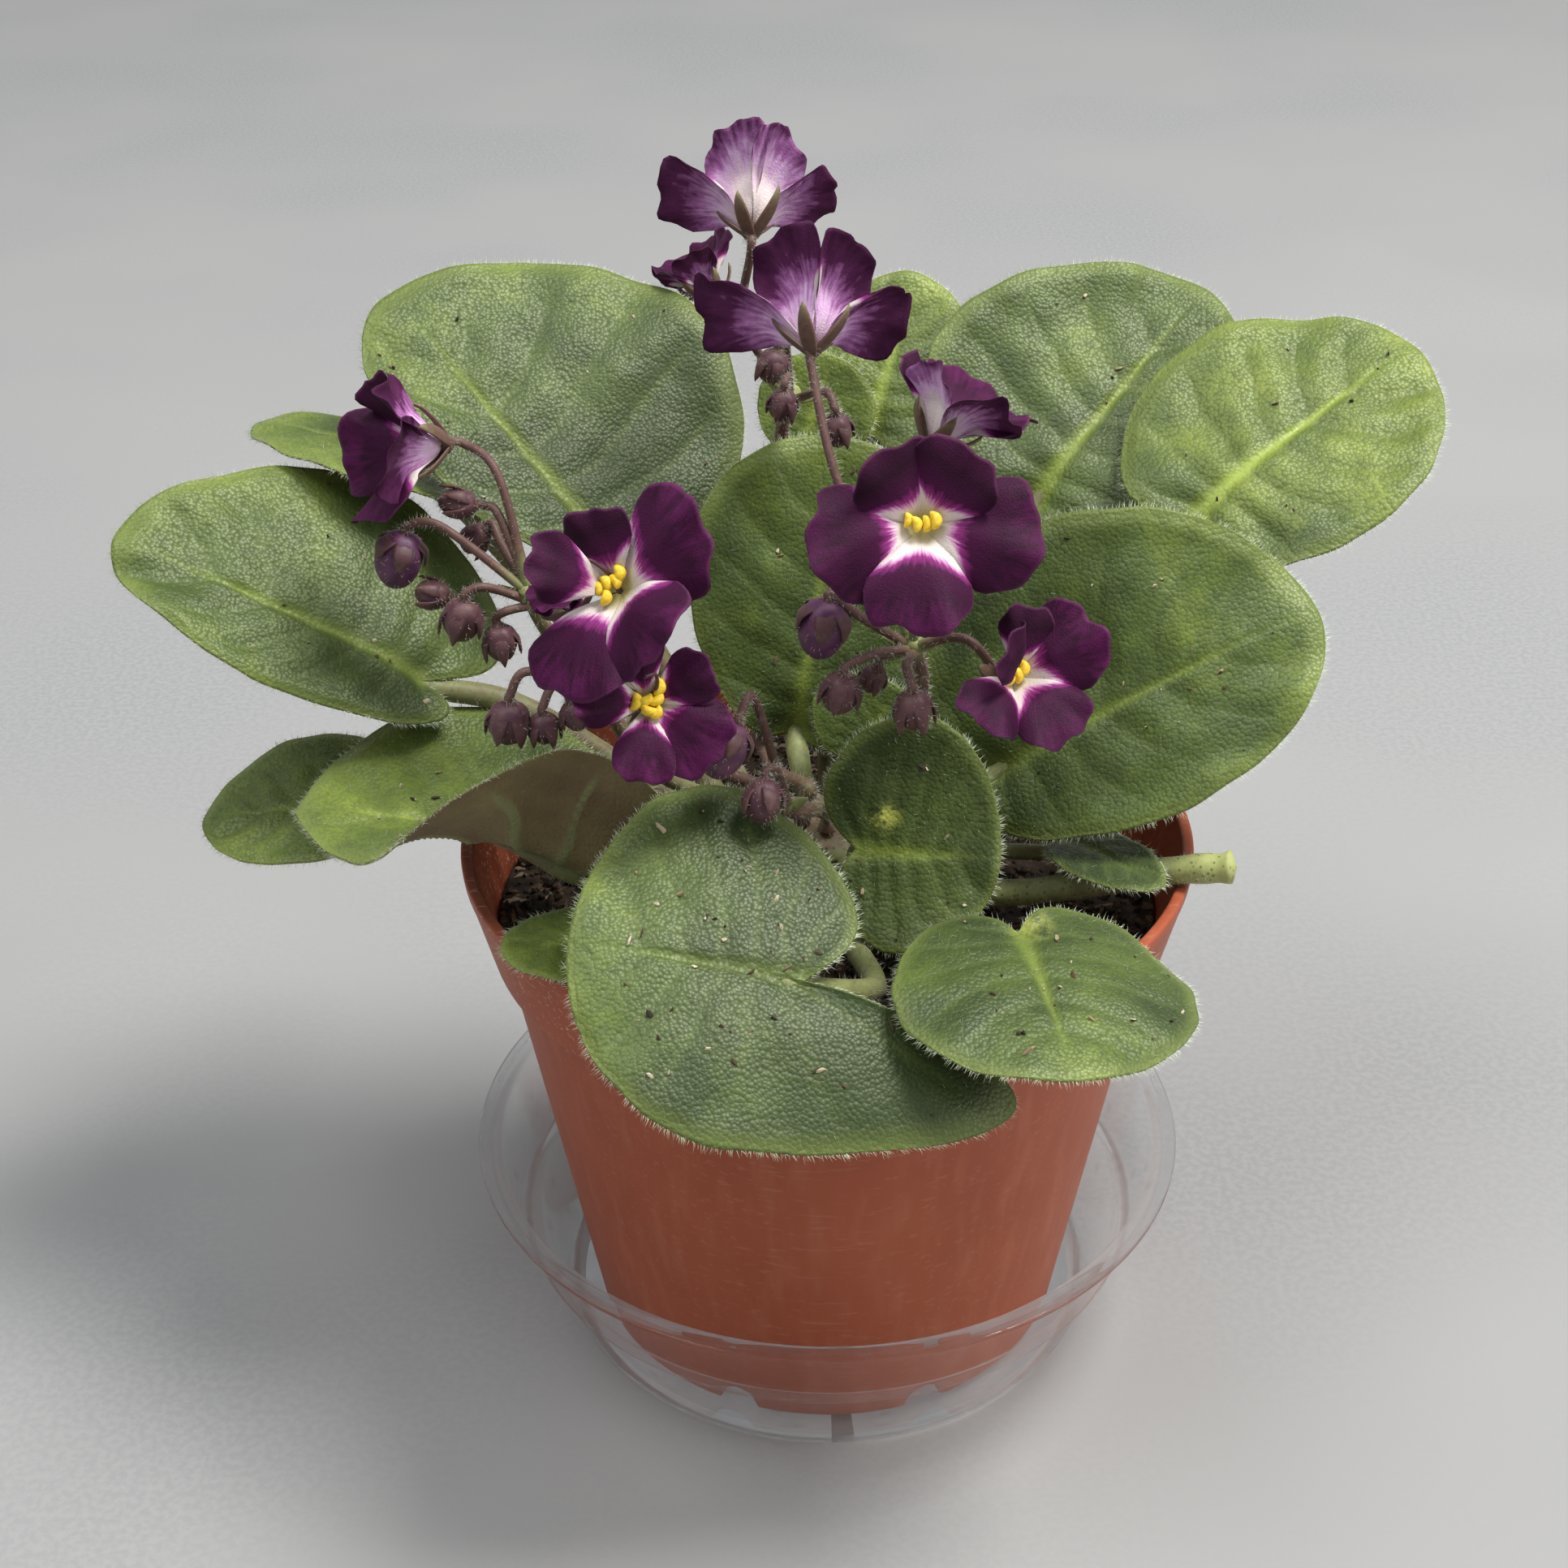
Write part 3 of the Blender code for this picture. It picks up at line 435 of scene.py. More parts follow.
def lattice_noise(x, y, cell, seed):
    """Smooth noise from -1 to 1: random values on a square lattice, blended by a smooth step in each cell."""
    values = np.random.default_rng(seed).uniform(-1, 1, (256, 256))
    u, v = np.asarray(x) / cell + 1000, np.asarray(y) / cell + 1000
    i, j = np.floor(u).astype(int), np.floor(v).astype(int)
    s, t = u - i, v - j
    s, t = s * s * (3 - 2 * s), t * t * (3 - 2 * t)
    i, j, i_next, j_next = i % 256, j % 256, (i + 1) % 256, (j + 1) % 256
    low = values[i, j] * (1 - s) + values[i_next, j] * s
    high = values[i, j_next] * (1 - s) + values[i_next, j_next] * s
    return low * (1 - t) + high * t


def soil_height(x, y):
    """Height of the mix: a low mound that sinks towards the wall, with clods, crumbs and grit on it."""
    from_axis = np.hypot(x, y) / SOIL_RADIUS
    clods = lattice_noise(x, y, 9.0, 1) * 0.9 + lattice_noise(x, y, 4.0, 2) * 0.6
    grit = lattice_noise(x, y, 1.7, 3) * 0.45 + lattice_noise(x, y, 0.8, 4) * 0.2
    return SOIL_TOP - 0.8 - SOIL_SINK * from_axis**2 + (clods + grit) * 0.8


def crumbs(centres, sizes, stretch, rng):
    """Irregular grains: an icosahedron for each, with its corners pulled in and out, turned and stretched."""
    gold = (1 + 5**0.5) / 2
    signs = np.array([(a, b) for a in (-1, 1) for b in (-1, 1)], float)
    none = np.zeros(4)
    a, b = signs[:, 0], signs[:, 1] * gold
    corners = np.vstack([np.stack(c, 1) for c in ((none, a, b), (a, b, none), (b, none, a))]) / gold
    edge = np.linalg.norm(corners[:, None] - corners[None], axis=-1)
    near = (edge > 0.1) & (edge < 2.1 / gold)
    triangles = [
        (i, j, k)
        for i in range(12)
        for j in range(i + 1, 12)
        for k in range(j + 1, 12)
        if near[i, j] and near[j, k] and near[i, k]
    ]
    triangles = np.array(triangles)
    first, second, third = (corners[triangles[:, n]] for n in range(3))
    inwards = np.einsum("ij,ij->i", np.cross(second - first, third - first), first) < 0
    triangles[inwards] = triangles[inwards][:, ::-1]
    count = len(centres)
    shapes = corners[None] * rng.uniform(0.6, 1.15, (count, 12, 1)) * stretch[:, None, :]
    turns = np.linalg.qr(rng.normal(size=(count, 3, 3)))[0]
    turns *= np.sign(np.linalg.det(turns))[:, None, None]
    points = np.einsum("nij,nkj->nki", turns, shapes) * sizes[:, None, None] + centres[:, None, :]
    faces = triangles[None] + (np.arange(count) * 12)[:, None, None]
    return points.reshape(-1, 3), faces.reshape(-1, 3)


def soil_finish():
    """Nearly black peat with brown crumbs and a few pale grains, rough and matte."""
    material, shader, s, places = new_finish("peat_mix", Roughness=0.95)
    clods = s.noise(places, 5.0, detail=4.0, roughness=0.7)
    grit = s.cells(places, 1.1, feature="F1")
    tint = s.node("ShaderNodeTexVoronoi", {"Vector": places, "Scale": 1 / (1.4 * MM)}, output=1)
    tint = s.node("ShaderNodeSeparateColor", {0: tint})
    colour = clods.ramp(0.35, 0.68).mix((0.012, 0.009, 0.006), (0.060, 0.038, 0.022))
    colour = tint.ramp(0.80, 0.95).mix(colour, (0.14, 0.088, 0.048))
    colour = (tint.ramp(0.965, 0.975) * 0.8).mix(colour, (0.36, 0.30, 0.20))
    plug(shader, Base_Color=colour, Normal=s.bump(clods - grit * 0.4, 0.7, 0.8))
    return material


peat = soil_finish()
RINGS = 110
SPOKES = 220
GAP_TO_WALL = 0.4
turn = full_turn(SPOKES)
ring = np.linspace(0, 1, RINGS + 1)[1:, None]
x, y = (ring * SOIL_RADIUS * np.cos(turn)).ravel(), (ring * SOIL_RADIUS * np.sin(turn)).ravel()
top = np.stack([x, y, soil_height(x, y)], axis=1)
# Its side follows the wall: from its top edge past the foot of the rim band, and down to the pot's floor.
side_profile = [
    (SOIL_RADIUS, BAND_BOTTOM + 2.0),
    (inner_radius(BAND_BOTTOM) - GAP_TO_WALL, BAND_BOTTOM - 0.3),
    (inner_radius(FLOOR_TOP) - GAP_TO_WALL, FLOOR_TOP + 0.3),
]
side = [np.stack([r * np.cos(turn), r * np.sin(turn), z + 0 * turn], axis=1) for r, z in side_profile]
points = np.vstack([top, *side, (0, 0, SOIL_TOP - 0.6), (0, 0, FLOOR_TOP + 0.3)])
faces = ring_faces(RINGS + len(side), SPOKES, outwards=False)
piece("potting_mix", points, faces, peat, "soil")

rng = np.random.default_rng(5)
CRUMBS = 2600
from_axis = SOIL_RADIUS * 0.985 * np.sqrt(rng.uniform(0.03, 1, CRUMBS))
angle = rng.uniform(0, 2 * pi, CRUMBS)
x, y = from_axis * np.cos(angle), from_axis * np.sin(angle)
size = 0.35 + 1.1 * rng.uniform(0, 1, CRUMBS) ** 3
centres = np.stack([x, y, soil_height(x, y) + size * 0.3], axis=1)
stretch = np.stack([rng.uniform(0.9, 2.0, CRUMBS), np.ones(CRUMBS), rng.uniform(0.5, 0.9, CRUMBS)], axis=1)
points, faces = crumbs(centres, size, stretch, rng)
piece("peat_crumbs", points, faces.tolist(), peat, smooth=False)


# ---- crown --------------------------------------------------------------------------------------------
# The short fleshy stem. Leaf stalks leave it all round, one above the other, and flower stalks from its
# top. It is pale green-brown with the scars of old leaves.

def spline(points, samples):
    """Even samples of the Catmull-Rom curve through points, the cubic that passes each with a smooth turn."""
    knots = np.asarray(points, float)
    knots = np.vstack([2 * knots[0] - knots[1], knots, 2 * knots[-1] - knots[-2]])
    spans = len(knots) - 3
    place = np.linspace(0, spans, samples)
    span = np.minimum(place.astype(int), spans - 1)
    t = (place - span)[:, None]
    a, b, c, d = (knots[span + k] for k in range(4))
    return 0.5 * (2 * b + (c - a) * t + (2 * a - 5 * b + 4 * c - d) * t**2 + (3 * b - a - 3 * c + d) * t**3)


def unit(vectors):
    return vectors / np.maximum(np.linalg.norm(vectors, axis=-1, keepdims=True), 1e-9)


def tube(path, radii, sides=14, groove=0.0):
    """Carries a ring along a path: point + radius (cos a across + sin a up), closed by a point at each end.

    across and up are square to the path's direction and to the flattest direction of the whole path.
    groove flattens the ring on its upper side. Returns points, faces and outward directions.
    """
    tangent = unit(np.gradient(path, axis=0))
    spread = path - path.mean(axis=0)
    flat = np.linalg.svd(spread + 1e-6 * np.arange(3))[2][2]
    across = unit(np.cross(tangent, flat))
    up = np.cross(across, tangent)
    turn = full_turn(sides)
    out = across[:, None] * np.cos(turn)[None, :, None] + up[:, None] * np.sin(turn)[None, :, None]
    reach = np.asarray(radii)[:, None] * (1 - groove * np.exp(-(((turn - pi / 2) / 0.5) ** 2)))
    rings = path[:, None] + out * reach[..., None]
    ends = np.stack([path[0] - tangent[0] * radii[0] * 0.3, path[-1] + tangent[-1] * radii[-1] * 0.3])
    points = np.vstack([rings.reshape(-1, 3), ends])
    outward = np.vstack([out.reshape(-1, 3), -tangent[:1], tangent[-1:]])
    return points, ring_faces(len(path), sides, outwards=False), outward


def gathered(parts):
    """Joins lists of (points, faces, attributes) into one, with the faces' numbers moved along."""
    points, faces, values, count = [], [], {}, 0
    for part_points, part_faces, part_values in parts:
        points.append(part_points)
        faces += [tuple(corner + count for corner in face) for face in part_faces]
        for name, value in part_values.items():
            values.setdefault(name, []).append(np.broadcast_to(value, len(part_points)))
        count += len(part_points)
    return np.vstack(points), faces, {name: np.concatenate(value) for name, value in values.items()}


def stalk_finish():
    """Stalk skin: attribute tint goes from pale yellow-green at 0 through olive to purple-brown at 1."""
    flesh = {"Subsurface_Weight": 0.12, "Subsurface_Radius": (0.0012, 0.0008, 0.0004), "Sheen_Weight": 0.08}
    material, shader, s, places = new_finish("hairy_stalk", **flesh)
    tint = s.attribute("tint")
    mottle = s.noise(places, 1.6, detail=3.0, roughness=0.6)
    specks = 1 - s.cells(places, 1.0).ramp(0.16, 0.30)
    amount = tint + (mottle - 0.5) * 0.5
    stops = [(0.0, (0.37, 0.40, 0.13)), (0.3, (0.20, 0.22, 0.08))]
    stops += [(0.6, (0.15, 0.080, 0.05)), (1.0, (0.075, 0.022, 0.030))]
    colour = s.node("ShaderNodeValToRGB", {0: amount}, stops=stops)
    colour = (specks * s.attribute("speckled")).mix(colour, (0.03, 0.022, 0.015))
    plug(shader, Base_Color=colour, Roughness=0.48 + mottle * 0.2, Normal=s.bump(mottle, 0.3, 0.15))
    return material


stalk_skin = stalk_finish()
CROWN_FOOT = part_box("crown")[0][2] / MM
CROWN_RADIUS, _, CROWN_TOP = top_corner("crown")
crown_profile = [(0, CROWN_TOP - 0.2), (4.5, CROWN_TOP - 0.1), (8.2, CROWN_TOP - 1.2), (9.6, CROWN_TOP - 4.0)]
crown_profile += [(9.4, CROWN_TOP - 8.0), (10.0, CROWN_FOOT + 1.0), (9.5, CROWN_FOOT), (0, CROWN_FOOT)]


def leaf_scars(radius, height, turn):
    """Shallow rings and ridges that wind up the stem, where older leaves came off."""
    wound = np.sin(5 * turn + height * 1.1) * 0.35 + np.sin(11 * turn - height * 2.3) * 0.2
    return np.minimum(radius + wound * (radius > 4), CROWN_RADIUS), height


points, faces = revolve(rounded(crown_profile, 1.2, samples=4), leaf_scars, outwards=False)
values = {"tint": 0.35 + 0.2 * np.sin(points[:, 2]), "speckled": np.full(len(points), 0.7)}
piece("crown_stem", points, faces, stalk_skin, "crown", values)


# ---- leaf blades --------------------------------------------------------------------------------------
# Thick soft blades, dark green above and dull red-brown below. Their skin is pebbled, the side veins lie in
# broad furrows, the midrib is broad and yellow-green at its base, and the thin margin is paler.
#
# crown is where the leaf stalk leaves the crown (azimuth in degrees, height), and via the points it passes.
# base and tip are the ends of the midrib, face is the way the upper side looks, and half the two half
# widths. broad moves the widest place towards the base, lobe is how far each side reaches back past the
# base, cup is the curvature across at base and tip (1/mm), and droop the curvature along. fold stands the
# near half up at the base (radians). ribbed and wave scale the furrows and the waves of the margin, rib is
# how bright the midrib is, tone goes from dark green at 0 to yellow-green at 1: partly the leaf's own green
# and partly painted light and shade, higher on the leaves that lie in more light. tip_light is how much tone
# grows towards the tip, a painted gradient of light towards the tip and shade at the base, and blotch is the
# middle of a yellowed patch, along and across in shares of the length.

LEAVES = [
    dict(
        crown=(147, 92), via=[(-18, 9, 104), (-29, 15, 121)],
        base=(-35, 20, 136), tip=(-72, 48, 169), face=(0.24, -0.56, 0.79),
        rib=0.35, tone=0.20, ribbed=1.0, tip_light=0.8,
        half=(16, 39), broad=(-0.05, 0.22), lobe=(2, 9), cup=(0.004, 0.004), droop=0.004, wave=0.6,
    ),
    dict(
        crown=(72, 92), via=[(5, 24, 106), (8, 36, 128)],
        base=(8, 43, 146), tip=(17, 62, 167), face=(0, -0.6, 0.8), rib=0.5, tone=0.5, ribbed=0.8,
        half=(12, 14), broad=(0.1, 0.1), lobe=(3, 3), cup=(0, 0), droop=0.005, wave=0.4,
    ),
    dict(
        crown=(40, 92), via=[(15, 15, 102), (28, 25, 121)],
        base=(35, 30, 139), tip=(66, 60, 165), face=(-0.04, -0.57, 0.82), rib=0.45, tone=0.34, ribbed=1.0,
        half=(29, 18), broad=(0.3, 0.1), lobe=(5, 4), cup=(0.01, 0.01), droop=0.004, wave=0.5,
    ),
    dict(
        crown=(20, 87), via=[(24, 9, 98), (46, 15.5, 118.5)],
        base=(60, 18.5, 141.5), tip=(98, 42, 161), face=(-0.1, -0.5, 0.86), rib=0.7, tone=0.62, ribbed=1.1,
        half=(24, 22), broad=(0.22, 0.1), lobe=(7, 6), cup=(0, 0), droop=0.006,
        wave=0.5, blotch=(0.14, -0.45),
    ),
    dict(
        crown=(-10, 92), via=[(18, -4, 97)],
        base=(26, -5, 107), tip=(77, -1, 134), face=(-0.2, -0.75, 0.63),
        rib=0.25, tone=0.36, ribbed=0.7, tip_light=0.35,
        half=(31, 20), broad=(0.2, 0.05), lobe=(8, 6), cup=(0.006, 0.006), droop=0.008, wave=0.7,
    ),
    dict(
        crown=(106, 92), via=[(-4, 12, 97)],
        base=(-5, 15, 102.5), tip=(4, 33, 149), face=(0, -0.9, 0.42), rib=0.35, tone=0.32, ribbed=0.7,
        half=(22, 24), broad=(-0.15, -0.1), lobe=(2, 3), cup=(0.012, 0.01), droop=0.004, wave=0.6,
    ),
    dict(
        crown=None, via=[(4, 3.5, 100)],
        base=(5, 7, 103), tip=(12, 11, 114), face=(0, -0.8, 0.6), rib=0.3, tone=0.3, ribbed=0.5,
        half=(11, 10), broad=(0.1, 0.1), lobe=(2, 2), cup=(0, 0), droop=0, wave=0.3,
    ),
    dict(
        crown=(-72, 92), via=[(4, -14, 95)],
        base=(4, -17, 100), tip=(27, -20, 100), face=(0, -0.87, 0.5), rib=0.35, tone=0.2, ribbed=1.0,
        half=(22, 16), broad=(0.15, 0.2), lobe=(6, 3), cup=(0.02, 0.02), droop=0.01,
        wave=0.7, blotch=(0.2, 0.3),
    ),
    dict(
        crown=(-94, 87), via=[(4, -24, 86), (6, -43, 91.5)],
        base=(-4, -56.5, 103.4), tip=(-38, -54.5, 108.4), face=(-0.1, -0.5, 0.86),
        rib=0.15, tone=0.18, ribbed=0.45, tip_light=0.55,
        half=(26, 30), broad=(0.24, 0.05), lobe=(35, 8), cup=(-0.008, -0.004), droop=0.006, wave=0.8,
    ),
    dict(
        crown=(-47, 87), via=[(19, -17, 86.6), (27, -30, 90)],
        base=(27.5, -44, 103.6), tip=(33, -74, 97.6), face=(0.12, -0.1, 0.98),
        rib=0.3, tone=0.30, ribbed=0.45,
        half=(24, 22), broad=(0.1, 0.1), lobe=(6, 6), cup=(-0.014, -0.012), droop=0.012,
        wave=0.7, blotch=(-0.02, 0.1),
    ),
    dict(
        crown=(170, 87), via=[(-26, 5, 97), (-50, 9, 112)],
        base=(-64, 5, 120), tip=(-112, 8, 144), face=(0.1, -0.45, 0.88),
        rib=0.35, tone=0.40, ribbed=0.9, tip_light=0.4,
        half=(14, 28), broad=(0.1, 0.25), lobe=(7, 12), cup=(0, 0), droop=0.006, wave=0.6,
    ),
    dict(
        crown=(220, 87), via=[(-20, -14, 89)],
        base=(-37, -20, 101), tip=(-84, -14, 108), face=(0.1, -0.1, 0.98), rib=0.2, tone=0.5, ribbed=1.0,
        half=(24, 26), broad=(0.6, 0.1), lobe=(14, 7), cup=(0.02, 0.01), droop=0.008, wave=0.5, fold=1.5,
    ),
    dict(
        crown=(195, 87), via=[(-34, -5, 91), (-55, -3, 98)],
        base=(-70, 0, 100), tip=(-103, 2, 95), face=(0.1, -0.35, 0.93), rib=0.2, tone=0.5, ribbed=1.0,
        half=(12, 15), broad=(0.1, 0.1), lobe=(3, 3), cup=(0, 0), droop=0.01, wave=0.4,
    ),
    dict(
        crown=(172, 92), via=[(-26, 9, 106), (-46, 21, 126)],
        base=(-58, 30, 142), tip=(-95, 40, 150), face=(0, 0.1, 0.98), rib=0.5, tone=0.6, ribbed=0.5,
        half=(13, 13), broad=(0.1, 0.1), lobe=(3, 3), cup=(0, 0), droop=0.01, wave=0.4,
    ),
    dict(
        crown=(243, 87), via=[(-18, -24, 88)],
        base=(-31, -31, 95), tip=(-49, -41, 97), face=(0, 0, 1), rib=0.2, tone=0.5, ribbed=1.0,
        half=(12, 9), broad=(0.1, 0.1), lobe=(3, 3), cup=(0, 0), droop=0.004, wave=0.4,
    ),
    dict(
        crown=(-4, 87), via=[(22, -2, 90)],
        base=(37, -7, 96.5), tip=(51, -27, 99.2), face=(0.1, -0.3, 0.95), rib=0.2, tone=0.1, ribbed=0.4,
        half=(6, 7), broad=(0.1, 0.1), lobe=(0, 0), cup=(0, 0), droop=0.01, wave=0.3,
    ),
    dict(
        crown=(90, 87), via=[(0, 26, 102), (-2, 36, 125)],
        base=(-3, 40, 144), tip=(2, 47, 158), face=(0, -0.8, 0.6), rib=0.4, tone=0.5, ribbed=0.5,
        half=(10, 10), broad=(0.1, 0.1), lobe=(2, 2), cup=(0, 0), droop=0, wave=0.2,
    ),
]
# Side veins: the share of the midrib where each starts, and the angle from the tip where it meets the margin.
SIDE_VEINS = [(0.02, 2.65), (0.10, 2.2), (0.22, 1.75), (0.36, 1.32), (0.52, 0.92), (0.70, 0.55)]
VEIN_BOW = 1.35
FOLD_WIDTH = 6.0
BLADE_CENTRE = 0.42
BLADE_THICKNESS = 1.0
MARGIN_THICKNESS = 0.4
YOUNG_LEAF = 30.0


def smooth_step(low, high, value):
    share = np.clip((value - low) / (high - low), 0, 1)
    return share * share * (3 - 2 * share)


def leaf_axes(leaf):
    """Length of the midrib, and the blade's axes: along the midrib, across it, and out of the upper side."""
    base, tip = np.array(leaf["base"], float), np.array(leaf["tip"], float)
    length = np.linalg.norm(tip - base)
    along = (tip - base) / length
    across = unit(np.cross(leaf["face"], along))
    up = np.cross(along, across)
    lean = leaf["droop"] * length / 2
    return length, along * cos(lean) + up * sin(lean), across, up * cos(lean) - along * sin(lean)


def bent(distance, curvature):
    """A line laid on an arc: it goes sin(curvature distance) / curvature, and rises (1 - cos) / curvature."""
    curvature = np.where(np.abs(curvature) < 1e-6, 1e-6, curvature)
    return np.sin(curvature * distance) / curvature, (1 - np.cos(curvature * distance)) / curvature


def blade_point(leaf, along, across):
    """The smooth blade: flat distances laid on an arc across the midrib, and then on another along it."""
    length, x_axis, y_axis, z_axis = leaf_axes(leaf)
    share = np.clip(along / length, -0.4, 1.2)
    side, rise = bent(across, leaf["cup"][0] * (1 - share) + leaf["cup"][1] * share)
    if "fold" in leaf:
        angle = leaf["fold"] * (1 - smooth_step(0.05, 0.90, share))
        near = np.minimum(across, FOLD_WIDTH)
        folded_side, folded_rise = bent(near, angle / FOLD_WIDTH)
        folded_side += (across - near) * np.cos(angle)
        folded_rise += (across - near) * np.sin(angle)
        side = np.where(across > 0, folded_side, side)
        rise = np.where(across > 0, folded_rise, rise)
    forward, fall = bent(along, leaf["droop"])
    turn = leaf["droop"] * along
    forward, height = forward + rise * np.sin(turn), rise * np.cos(turn) - fall
    out = (np.multiply.outer(d, axis) for d, axis in ((forward, x_axis), (side, y_axis), (height, z_axis)))
    return np.array(leaf["base"]) + sum(out)


def blade_outline(leaf, angle):
    """Margin at an angle from the tip: an oval with its widest place and lobes shifted, faintly scalloped."""
    length = leaf_axes(leaf)[0]
    left = angle > 0
    half, broad, lobe = (np.where(left, *leaf[key]) for key in ("half", "broad", "lobe"))
    along = length * (0.5 + 0.5 * np.cos(angle)) - lobe * np.sin(pi * (np.abs(angle) / pi) ** 5)
    uneven = 0.008 * np.sin(7 * angle + length) + 0.006 * np.sin(16 * angle + 2 * length)
    return along, half * np.sin(angle) * (1 - broad * np.cos(angle)) * (1 + uneven)


def leaf_veins(leaf, along, across):
    """Shares of midrib, side vein and furrow at a place: bells exp(-(gap / width)^2) round each line.

    A side vein leaves the midrib squarely and bows towards the tip: its way along grows as reach^VEIN_BOW.
    """
    length = leaf_axes(leaf)[0]
    share = np.clip(along / length, 0, 1)
    midrib = np.exp(-((across / (0.45 + 1.3 * (1 - share) ** 2)) ** 2)) * (1 - smooth_step(0.45, 1.0, share))
    midrib = midrib * smooth_step(-2.5, 0.5, along)
    line, furrow = np.zeros_like(along), np.zeros_like(along)
    for start, angle in SIDE_VEINS:
        for side in (angle, -angle):
            end_along, end_across = blade_outline(leaf, np.array(side))
            reach = np.clip(across / end_across, 0, 1)
            run = end_along - start * length
            gap = along - start * length - run * reach**VEIN_BOW
            slope = run * VEIN_BOW * reach ** (VEIN_BOW - 1) / np.abs(end_across)
            gap = gap / np.sqrt(1 + slope**2)
            shown = smooth_step(0, 0.08, reach) * (1 - smooth_step(0.70, 0.96, reach))
            line = np.maximum(line, np.exp(-((gap / 0.55) ** 2)) * shown)
            furrow = np.maximum(furrow, np.exp(-((gap / (0.055 * length)) ** 2)) * shown)
    return midrib, line, furrow


def blade_sides(leaf, reach, angle):
    """Points of both sides of the blade at a share of the way from its middle to the margin, and the normals.

    The upper side is the smooth blade sunk along midrib and side veins, waved and rolled down at the margin.
    The lower side lies under it, with ribs where the upper side has furrows.
    """
    length = leaf_axes(leaf)[0]
    edge_along, edge_across = blade_outline(leaf, angle)
    centre = BLADE_CENTRE * length
    along, across = centre + reach * (edge_along - centre), reach * edge_across
    drift = 1.6 * lattice_noise(along, across + 40, 11.0, 5)
    midrib, line, furrow = leaf_veins(leaf, along + drift * smooth_step(2, 8, np.abs(across)), across)
    furrow = furrow * (0.6 + 0.55 * lattice_noise(along + 90, across, 13.0, 6))
    scale = min(1.0, length / 45)
    phase = length * 1.7
    waves = leaf["wave"] * reach**3 * (np.sin(4 * angle + phase) + 0.6 * np.sin(9 * angle + 2 * phase))
    lumps = 0.75 * lattice_noise(along + phase, across, 12.0, 7)
    lumps = lumps + 0.20 * lattice_noise(along, across + phase, 4.0, 8)
    relief = -0.9 * midrib - leaf["ribbed"] * (0.20 * line + 0.62 * furrow) + waves + lumps
    relief = relief - 0.5 * smooth_step(0.90, 1.0, reach) - 1.2 * np.exp(-(along**2 + across**2) / 20)
    step = 0.2
    smooth = blade_point(leaf, along, across)
    ahead = blade_point(leaf, along + step, across) - smooth
    aside = blade_point(leaf, along, across + step) - smooth
    normal = unit(np.cross(ahead, aside))
    upper = smooth + normal * (relief * scale)[..., None]
    thickness = MARGIN_THICKNESS + (BLADE_THICKNESS - MARGIN_THICKNESS) * (1 - reach**3)
    thickness = thickness + midrib * 0.9 + line * 0.3
    lower = upper - normal * (thickness * (0.5 + 0.5 * scale))[..., None]
    values = {"midrib": midrib, "vein": line, "furrow": furrow, "margin": smooth_step(0.86, 1.0, reach)}
    values["towards_tip"] = along / length - 0.5
    values["blotch"] = np.zeros_like(along)
    if "blotch" in leaf:
        from_blotch = np.hypot(along / length - leaf["blotch"][0], across / length * 1.3 - leaf["blotch"][1])
        values["blotch"] = 1 - smooth_step(0.02, 0.16, from_blotch)
    return upper, lower, normal, values


def leaf_finish():
    """Leaf skin, from the blade's attributes.

    The upper side is green with small round pebbles, with painted shade between the pebbles and in the
    furrows, and it is yellower at the midrib and margin. The lower side is red-brown with pale green veins. A
    soft sheen stands for the finest hairs.
    """
    sheen = {"Sheen_Weight": 0.03, "Sheen_Roughness": 0.5, "Specular_Tint": (0.92, 0.97, 0.78, 1)}
    material, shader, s, places = new_finish("violet_leaf", Specular_IOR_Level=0.5, **sheen)
    tone, under, midrib = s.attribute("tone"), s.attribute("under"), s.attribute("bright_rib")
    vein, furrow, margin, blotch = (s.attribute(a) for a in ("vein", "furrow", "margin", "blotch"))
    clouds = s.noise(places, 14.0, detail=3.0, roughness=0.55)
    mottle = s.noise(places, 2.2, detail=3.0, roughness=0.6)
    pebbles = s.cells(places, 0.62, feature="F1")
    stretched = s.noise(places, 0.55, detail=1.0)
    # tone carries painted light and shade as well as the leaf's own green.
    amount = tone + (clouds - 0.5) * 1.4 + (mottle - 0.5) * 0.35
    greens = [
        (0.0, (0.028, 0.046, 0.010)), (0.4, (0.072, 0.108, 0.018)), (0.75, (0.160, 0.215, 0.032)),
        (1.0, (0.29, 0.35, 0.055)),
    ]
    colour = s.node("ShaderNodeValToRGB", {0: amount}, stops=greens)
    # Painted shade: darker in the hollows between the pebbles and in the furrows.
    colour = (pebbles.ramp(0.35, 0.75) * 0.28).mix(colour, (0.032, 0.050, 0.010))
    colour = (furrow * 0.35).mix(colour, (0.030, 0.050, 0.012))
    colour = (vein * 0.22).mix(colour, (0.15, 0.20, 0.05))
    colour = (midrib * 0.95).mix(colour, (0.38, 0.48, 0.07))
    colour = (margin * 0.45).mix(colour, (0.20, 0.25, 0.06))
    yellow = blotch * clouds.ramp(0.35, 0.6) * mottle.ramp(0.35, 0.55)
    colour = yellow.mix(colour, (0.50, 0.52, 0.10))
    brown = clouds.ramp(0.3, 0.7).mix((0.140, 0.090, 0.045), (0.21, 0.165, 0.070))
    brown = (midrib + vein * 0.8 + furrow * 0.25).ramp(0.15, 0.7).mix(brown, (0.21, 0.215, 0.090))
    colour = under.mix(colour, brown)
    relief = (1 - pebbles * pebbles) * (1 - midrib * 0.7) + stretched * 0.15
    rough = 0.36 + pebbles * 0.20 + under * 0.25
    plug(shader, Base_Color=colour, Roughness=rough, Normal=s.bump(relief, 0.75, 0.17))
    return material


